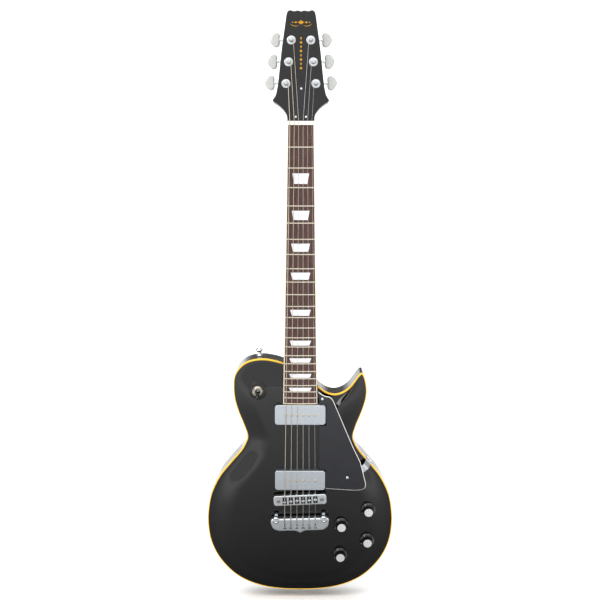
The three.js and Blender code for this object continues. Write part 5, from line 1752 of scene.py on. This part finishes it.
@dataclass
class Jack:
    """The output jack in its square plate on the lower treble rim."""

    turn: float = -31.0
    plate: float = 36.0
    thick: float = 1.6
    bore: float = 3.3

    def build(self, body: Body) -> None:
        """Makes the plate with its nut and screws.

        Args:
            body: the body whose rim it sits on.
        """
        a = math.radians(self.turn)
        out = Vector((math.cos(a), 0, math.sin(a)))
        foot, _ = body.rim_place(lambda p: -(p.x * out.x + p.z * out.z))
        foot = foot - out * 1.6
        depth = Vector((0, 1, 0))
        basis = Matrix((out, depth.cross(out), depth)).transposed().to_4x4()
        place = Matrix.Translation(foot) @ basis
        outline = rounded_rect(self.plate, self.plate, 3.0)
        sheet = Shape().plate(outline, -GAP - self.thick, -GAP)
        sheet.bevel(0.6, 3, 50, in_front(-GAP - self.thick + 0.01))
        sheet.combine([Shape().rod(6.3, (-20, 3), (0, 0, 0))])
        sheet.add(Shape().turned([(self.bore, 22), (self.bore, -6), (4.5, -6), (4.7, -5.7), (4.7, -GAP - 1),
                                  (6.2, -GAP - 1), (6.2, 22)],
                                 (0, 0, 0), (0, 1, 0), 40, True))
        nut = Shape().turned([(4.75, -GAP - self.thick), (7.6, -GAP - self.thick), (7.6, -4.2), (7.1, -4.6),
                              (4.75, -4.6)], (0, 0, 0), (0, 1, 0), 6, True)
        sheet.add(nut)
        reach = self.plate / 2 - 4
        for sx, sz in ((1, 1), (1, -1), (-1, 1), (-1, -1)):
            sheet.add(Screw(radius=2.4, dome=0.9).shape(Vector((sx * reach, -GAP - self.thick, sz * reach)),
                                                        Vector((0, -1, 0)), sx + 0.4 * sz))
        lay = Matrix(((0, -1, 0, 0), (1, 0, 0, 0), (0, 0, 1, 0), (0, 0, 0, 1)))
        sheet.move(place @ lay)
        sheet.piece("jack_plate", CHROME, replaces=["output_jack"], smooth=32)


@dataclass
class StrapButton:
    """A strap button screwed to the rim."""

    name: str
    head: float = 6.5
    waist: float = 4.0
    foot: float = 5.5
    length: float = 12.0

    def build(self, place: Vector, out: Vector) -> None:
        """Makes the button.

        Args:
            place: where it meets the rim.
            out: which way it stands.
        """
        h, w, b, l = self.head, self.waist, self.foot, self.length
        start = place + out * GAP
        profile = [(0, -15), (1.8, -15), (1.8, 0), (b, 0), (b, 0.9), (b - 0.3, 1.3), (w + 0.5, 2.2), (w, 3.4),
                   (w - 0.15, 6), (w, l - 5.2), (w + 0.7, l - 4.1), (h - 0.6, l - 3.3), (h, l - 2.6),
                   (h, l - 1.5), (h - 0.5, l - 0.6), (h - 1.5, l), (2.6, l - 0.5), (0, l - 0.5)]
        button = Shape().turned(profile, start, out, 48)
        button.add(Screw(radius=2.5, dome=0.9, depth=0.4).shape(start + out * (l - 0.55), out, 0.5))
        button.piece(f"strap_peg_{self.name}", CHROME, replaces=[f"strap_button_{self.name}"], smooth=35)


class Strings:
    """The six strings from their posts, over the nut and the saddles, to the tailpiece."""

    def build(self) -> None:
        """Makes each string as a round wire."""
        bridge = Bridge()
        tail = Tailpiece()
        for i, name in enumerate(STRING_NAMES):
            radius = STRING_RADII[i]
            tuner = next(t for t in TUNERS if t.string == i)
            hook = HEAD @ Vector((tuner.side * (tuner.x - tuner.post + 0.5 - radius - GAP), -4.75, tuner.v))
            x = string_x(i, NUT_SPAN)
            nut_back = NECK @ Vector((x, -NUT_ACTION + 0.9, 4.6))
            nut_front = NECK @ Vector((x, -NUT_ACTION, 0.5))
            across = string_x(i, BRIDGE_SPAN)
            z = BRIDGE_Z + bridge.h + across * math.tan(math.radians(bridge.slant)) + bridge.rest[i]
            saddle = Vector((across, STRING_Y, z))
            end = Vector((across, tail.front + 7.4,
                          BRIDGE_Z + tail.h + across * math.tan(math.radians(tail.slant)) - 4))
            path = [hook, hook.lerp(nut_back, 0.5), nut_back, nut_front]
            path += [nut_front.lerp(saddle, k / 8) for k in range(1, 8)]
            path += [nut_front.lerp(saddle, 0.997), saddle, saddle.lerp(end, 0.03) + Vector((0, -0.12, 0)),
                     saddle.lerp(end, 0.5), end]
            wire = Shape().sweep(path, radius, 12)
            wire.piece(f"wire_{name}", WOUND if i < 3 else WIRE, replaces=[f"string_{name}"], smooth=60,
                       even=False)


PICKUPS = (Pickup("neck_pickup", 482.0, 8.3), Pickup("bridge_pickup", 598.0, 12.0))
KNOBS = (
    Knob("neck_volume", 71.5, -54.4),
    Knob("bridge_volume", 117.7, -26.4),
    Knob("neck_tone", 70.1, -110.4),
    Knob("bridge_tone", 116.7, -83.3),
)
TUNERS = (
    Tuner(1, -1, 24.0, 60.0, 0), Tuner(2, -1, 19.9, 95.3, 1), Tuner(3, -1, 15.7, 131.1, 2),
    Tuner(3, 1, 15.7, 131.1, 3), Tuner(2, 1, 19.9, 95.3, 4), Tuner(1, 1, 24.0, 60.0, 5),
)


# ---------------------------------------------------------------------------------------------- studio


@dataclass
class Studio:
    """The pale floor, the soft light and the camera."""

    eye: tuple[float, float, float] = (-0.0008, -1.636, 0.078)
    pitch: float = 12.565
    roll: float = 0.12
    lens: float = 60.6
    paper: str = "F7F7F7"
    # The black that the paper's painted shade darkens towards; only reflections see it.
    ink: tuple[float, float, float, float] = (0.0, 0.0, 0.0, 1.0)
    near: float = 0.011
    gap: float = 0.004
    fore: float = 4000.0
    bend: int = 12
    half: float = 2600.0
    # In front, the painted shade lifts from dim beside the guitar to plain white this many metres out.
    fade: float = 1.6
    dim: float = 0.15
    depth: float = 4500.0
    turn: float = 1400.0
    top: float = 2400.0
    # Behind, the painted shade darkens with height, down to this share of white over the heights in fall.
    behind: float = 0.2
    fall: tuple[float, float] = (-0.2, 0.9)
    sky: tuple[float, float] = (1.12, 0.33)
    ceiling_watts: float = 400.0
    front_watts: float = 36.0

    def floor(self) -> None:
        """Makes one sheet of pale paper that turns up behind the guitar."""
        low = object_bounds()[0][2] - self.gap
        sheet = Shape()
        profile = [(-self.fore, low * 1000), (self.depth, low * 1000)]
        for k in range(1, self.bend + 1):
            a = math.pi / 2 * k / self.bend
            profile.append((self.depth + self.turn * math.sin(a), low * 1000 + self.turn * (1 - math.cos(a))))
        profile.append((self.depth + self.turn, self.top))
        edges = sheet.ring([Vector((-self.half, y, z)) for y, z in profile], False)
        grown = bmesh.ops.extrude_edge_only(sheet.bm, edges=edges)["geom"]
        verts = [g for g in grown if isinstance(g, bmesh.types.BMVert)]
        bmesh.ops.translate(sheet.bm, verts=verts, vec=(2 * self.half, 0, 0))
        sheet.bm.transform(Matrix.Scale(MM, 4))
        mesh = bpy.data.meshes.new("paper_sweep")
        sheet.bm.to_mesh(mesh)
        mesh.shade_smooth()
        mesh.materials.append(self.paper_material())
        floor = bpy.data.objects.new("paper_sweep", mesh)
        bpy.context.scene.collection.objects.link(floor)
        floor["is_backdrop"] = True

    def paper_material(self) -> bpy.types.Material:
        """Returns matt seamless paper, plain white to the camera, with painted shade that only reflections
        see: the lacquer and the chrome mirror it as a dimmer sheet, darkest beside the guitar and high up
        behind it.
        """
        made = bpy.data.materials.new("white_paper_with_painted_reflection_shade")
        made.use_nodes = True
        tree = made.node_tree
        tree.nodes.clear()
        place = add_node(tree, "ShaderNodeTexCoord").outputs["Object"]
        ahead = add_node(tree, "ShaderNodeSeparateXYZ", {0: place}).outputs["Y"]
        flat = add_node(tree, "ShaderNodeVectorMath", {0: place, 1: (1.0, 1.0, 0.0)},
                        operation="MULTIPLY").outputs[0]
        away = add_node(tree, "ShaderNodeVectorMath", {0: flat}, operation="LENGTH").outputs["Value"]
        # Painted shade for the reflections in front of the guitar: dim beside it, white farther out.
        bright = add_node(
            tree,
            "ShaderNodeMapRange",
            {"Value": away, "From Min": self.near, "From Max": self.fade, "To Min": self.dim, "To Max": 1.0},
        ).outputs["Result"]
        front = add_node(tree, "ShaderNodeMath", {0: ahead, 1: -self.near},
                         operation="GREATER_THAN").outputs[0]
        height = add_node(tree, "ShaderNodeSeparateXYZ", {0: place}).outputs["Z"]
        # Painted shade for the reflections behind the guitar: darker higher up the paper.
        low, high = self.fall
        fall = add_node(
            tree,
            "ShaderNodeMapRange",
            {"Value": height, "From Min": low, "From Max": high, "To Min": 1.0, "To Max": self.behind},
        ).outputs["Result"]
        mirrored = add_node(tree, "ShaderNodeMix", {0: front, 2: bright, 3: fall}).outputs[0]
        # Only glossy rays see the painted shade; every other ray sees plain white paper.
        glossy = add_node(tree, "ShaderNodeLightPath").outputs["Is Glossy Ray"]
        share = add_node(tree, "ShaderNodeMix", {0: glossy, 2: 1.0, 3: mirrored}).outputs[0]
        colour = add_node(
            tree, "ShaderNodeMix", {0: share, 6: self.ink, 7: linear(self.paper)}, data_type="RGBA"
        ).outputs[2]
        shader = add_node(tree, "ShaderNodeBsdfDiffuse", {"Color": colour}).outputs["BSDF"]
        add_node(tree, "ShaderNodeOutputMaterial", {"Surface": shader})
        return made

    def light(self, name: str, place: Sequence[float], aim: Sequence[float], size: tuple[float, float],
              power: float) -> None:
        """Adds a soft rectangular light.

        Args:
            name: the light's name.
            place: where it is, in metres.
            aim: what it points at.
            size: its width and height in metres.
            power: its power in watts.
        """
        data = bpy.data.lights.new(name, "AREA")
        data.shape = "RECTANGLE"
        data.size, data.size_y = size
        data.energy = power
        lamp = bpy.data.objects.new(name, data)
        bpy.context.scene.collection.objects.link(lamp)
        lamp.location = place
        lamp.rotation_euler = (Vector(aim) - Vector(place)).to_track_quat("-Z", "Y").to_euler()

    def build(self) -> None:
        """Makes the floor, the sky, the lights and the camera."""
        scene = bpy.context.scene
        self.floor()
        world = bpy.data.worlds.new("soft_white_room")
        scene.world = world
        world.use_nodes = True
        tree = world.node_tree
        tree.nodes.clear()
        way = add_node(tree, "ShaderNodeTexCoord").outputs["Generated"]
        ahead = add_node(tree, "ShaderNodeSeparateXYZ", {0: way}).outputs["Y"]
        glow = add_node(
            tree,
            "ShaderNodeMapRange",
            {"Value": ahead, "From Min": -0.6, "From Max": 0.6, "To Min": self.sky[0], "To Max": self.sky[1]},
        ).outputs["Result"]
        sky = add_node(tree, "ShaderNodeBackground", {"Color": linear("FFFFFF"), "Strength": glow})
        add_node(tree, "ShaderNodeOutputWorld", {"Surface": sky.outputs[0]})
        self.light("ceiling_softbox", (0, 1.6, 4.0), (0, 1.6, 0), (8.0, 9.0), self.ceiling_watts)
        self.light("front_softbox", (-2.1, -1.7, 2.1), (0, 0, -0.4), (1.7, 1.7), self.front_watts)
        camera = bpy.data.cameras.new("camera")
        camera.lens = self.lens
        camera.sensor_width = 36
        eye = bpy.data.objects.new("camera", camera)
        scene.collection.objects.link(eye)
        eye.location = self.eye
        nod = Matrix.Rotation(math.radians(90 - self.pitch), 4, "X")
        eye.rotation_euler = (nod @ Matrix.Rotation(math.radians(self.roll), 4, "Z")).to_euler()
        scene.camera = eye
        scene.view_settings.view_transform = "Standard"
        scene.view_settings.look = "None"


def dress_hidden() -> None:
    """Gives the frame's own inner nodes, which stay as they are, their finishes."""
    for node, finish in (("truss_rod", STEEL), ("neck_pickup_coil", COIL), ("bridge_pickup_coil", COIL),
                         ("pot_plate", STEEL)):
        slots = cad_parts[node].data.materials
        slots.clear()
        slots.append(finish.material())


def main() -> None:
    """Builds every sub-assembly in order, then the studio."""
    logging.basicConfig(level=logging.INFO, format="%(message)s")
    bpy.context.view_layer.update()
    dress_hidden()
    body = Body()
    body.build()
    Neck().build()
    for tuner in TUNERS:
        tuner.build()
    for pickup in PICKUPS:
        pickup.build()
    Bridge().build()
    Tailpiece().build()
    Guard().build()
    for knob in KNOBS:
        knob.build()
    Toggle().build()
    Jack().build(body)
    top = BRIDGE_Z + body.joint_height / 2
    upper = body.rim_place(lambda p: abs(p.x - UPPER_BUTTON_X) + (RULED_OUT if p.z < top else 0))
    end = body.rim_place(lambda p: abs(p.x) + (RULED_OUT if p.z > BRIDGE_Z else 0))
    StrapButton("upper").build(*upper)
    StrapButton("end").build(*end)
    Strings().build()
    Studio().build()


if __name__ == "__main__":
    main()
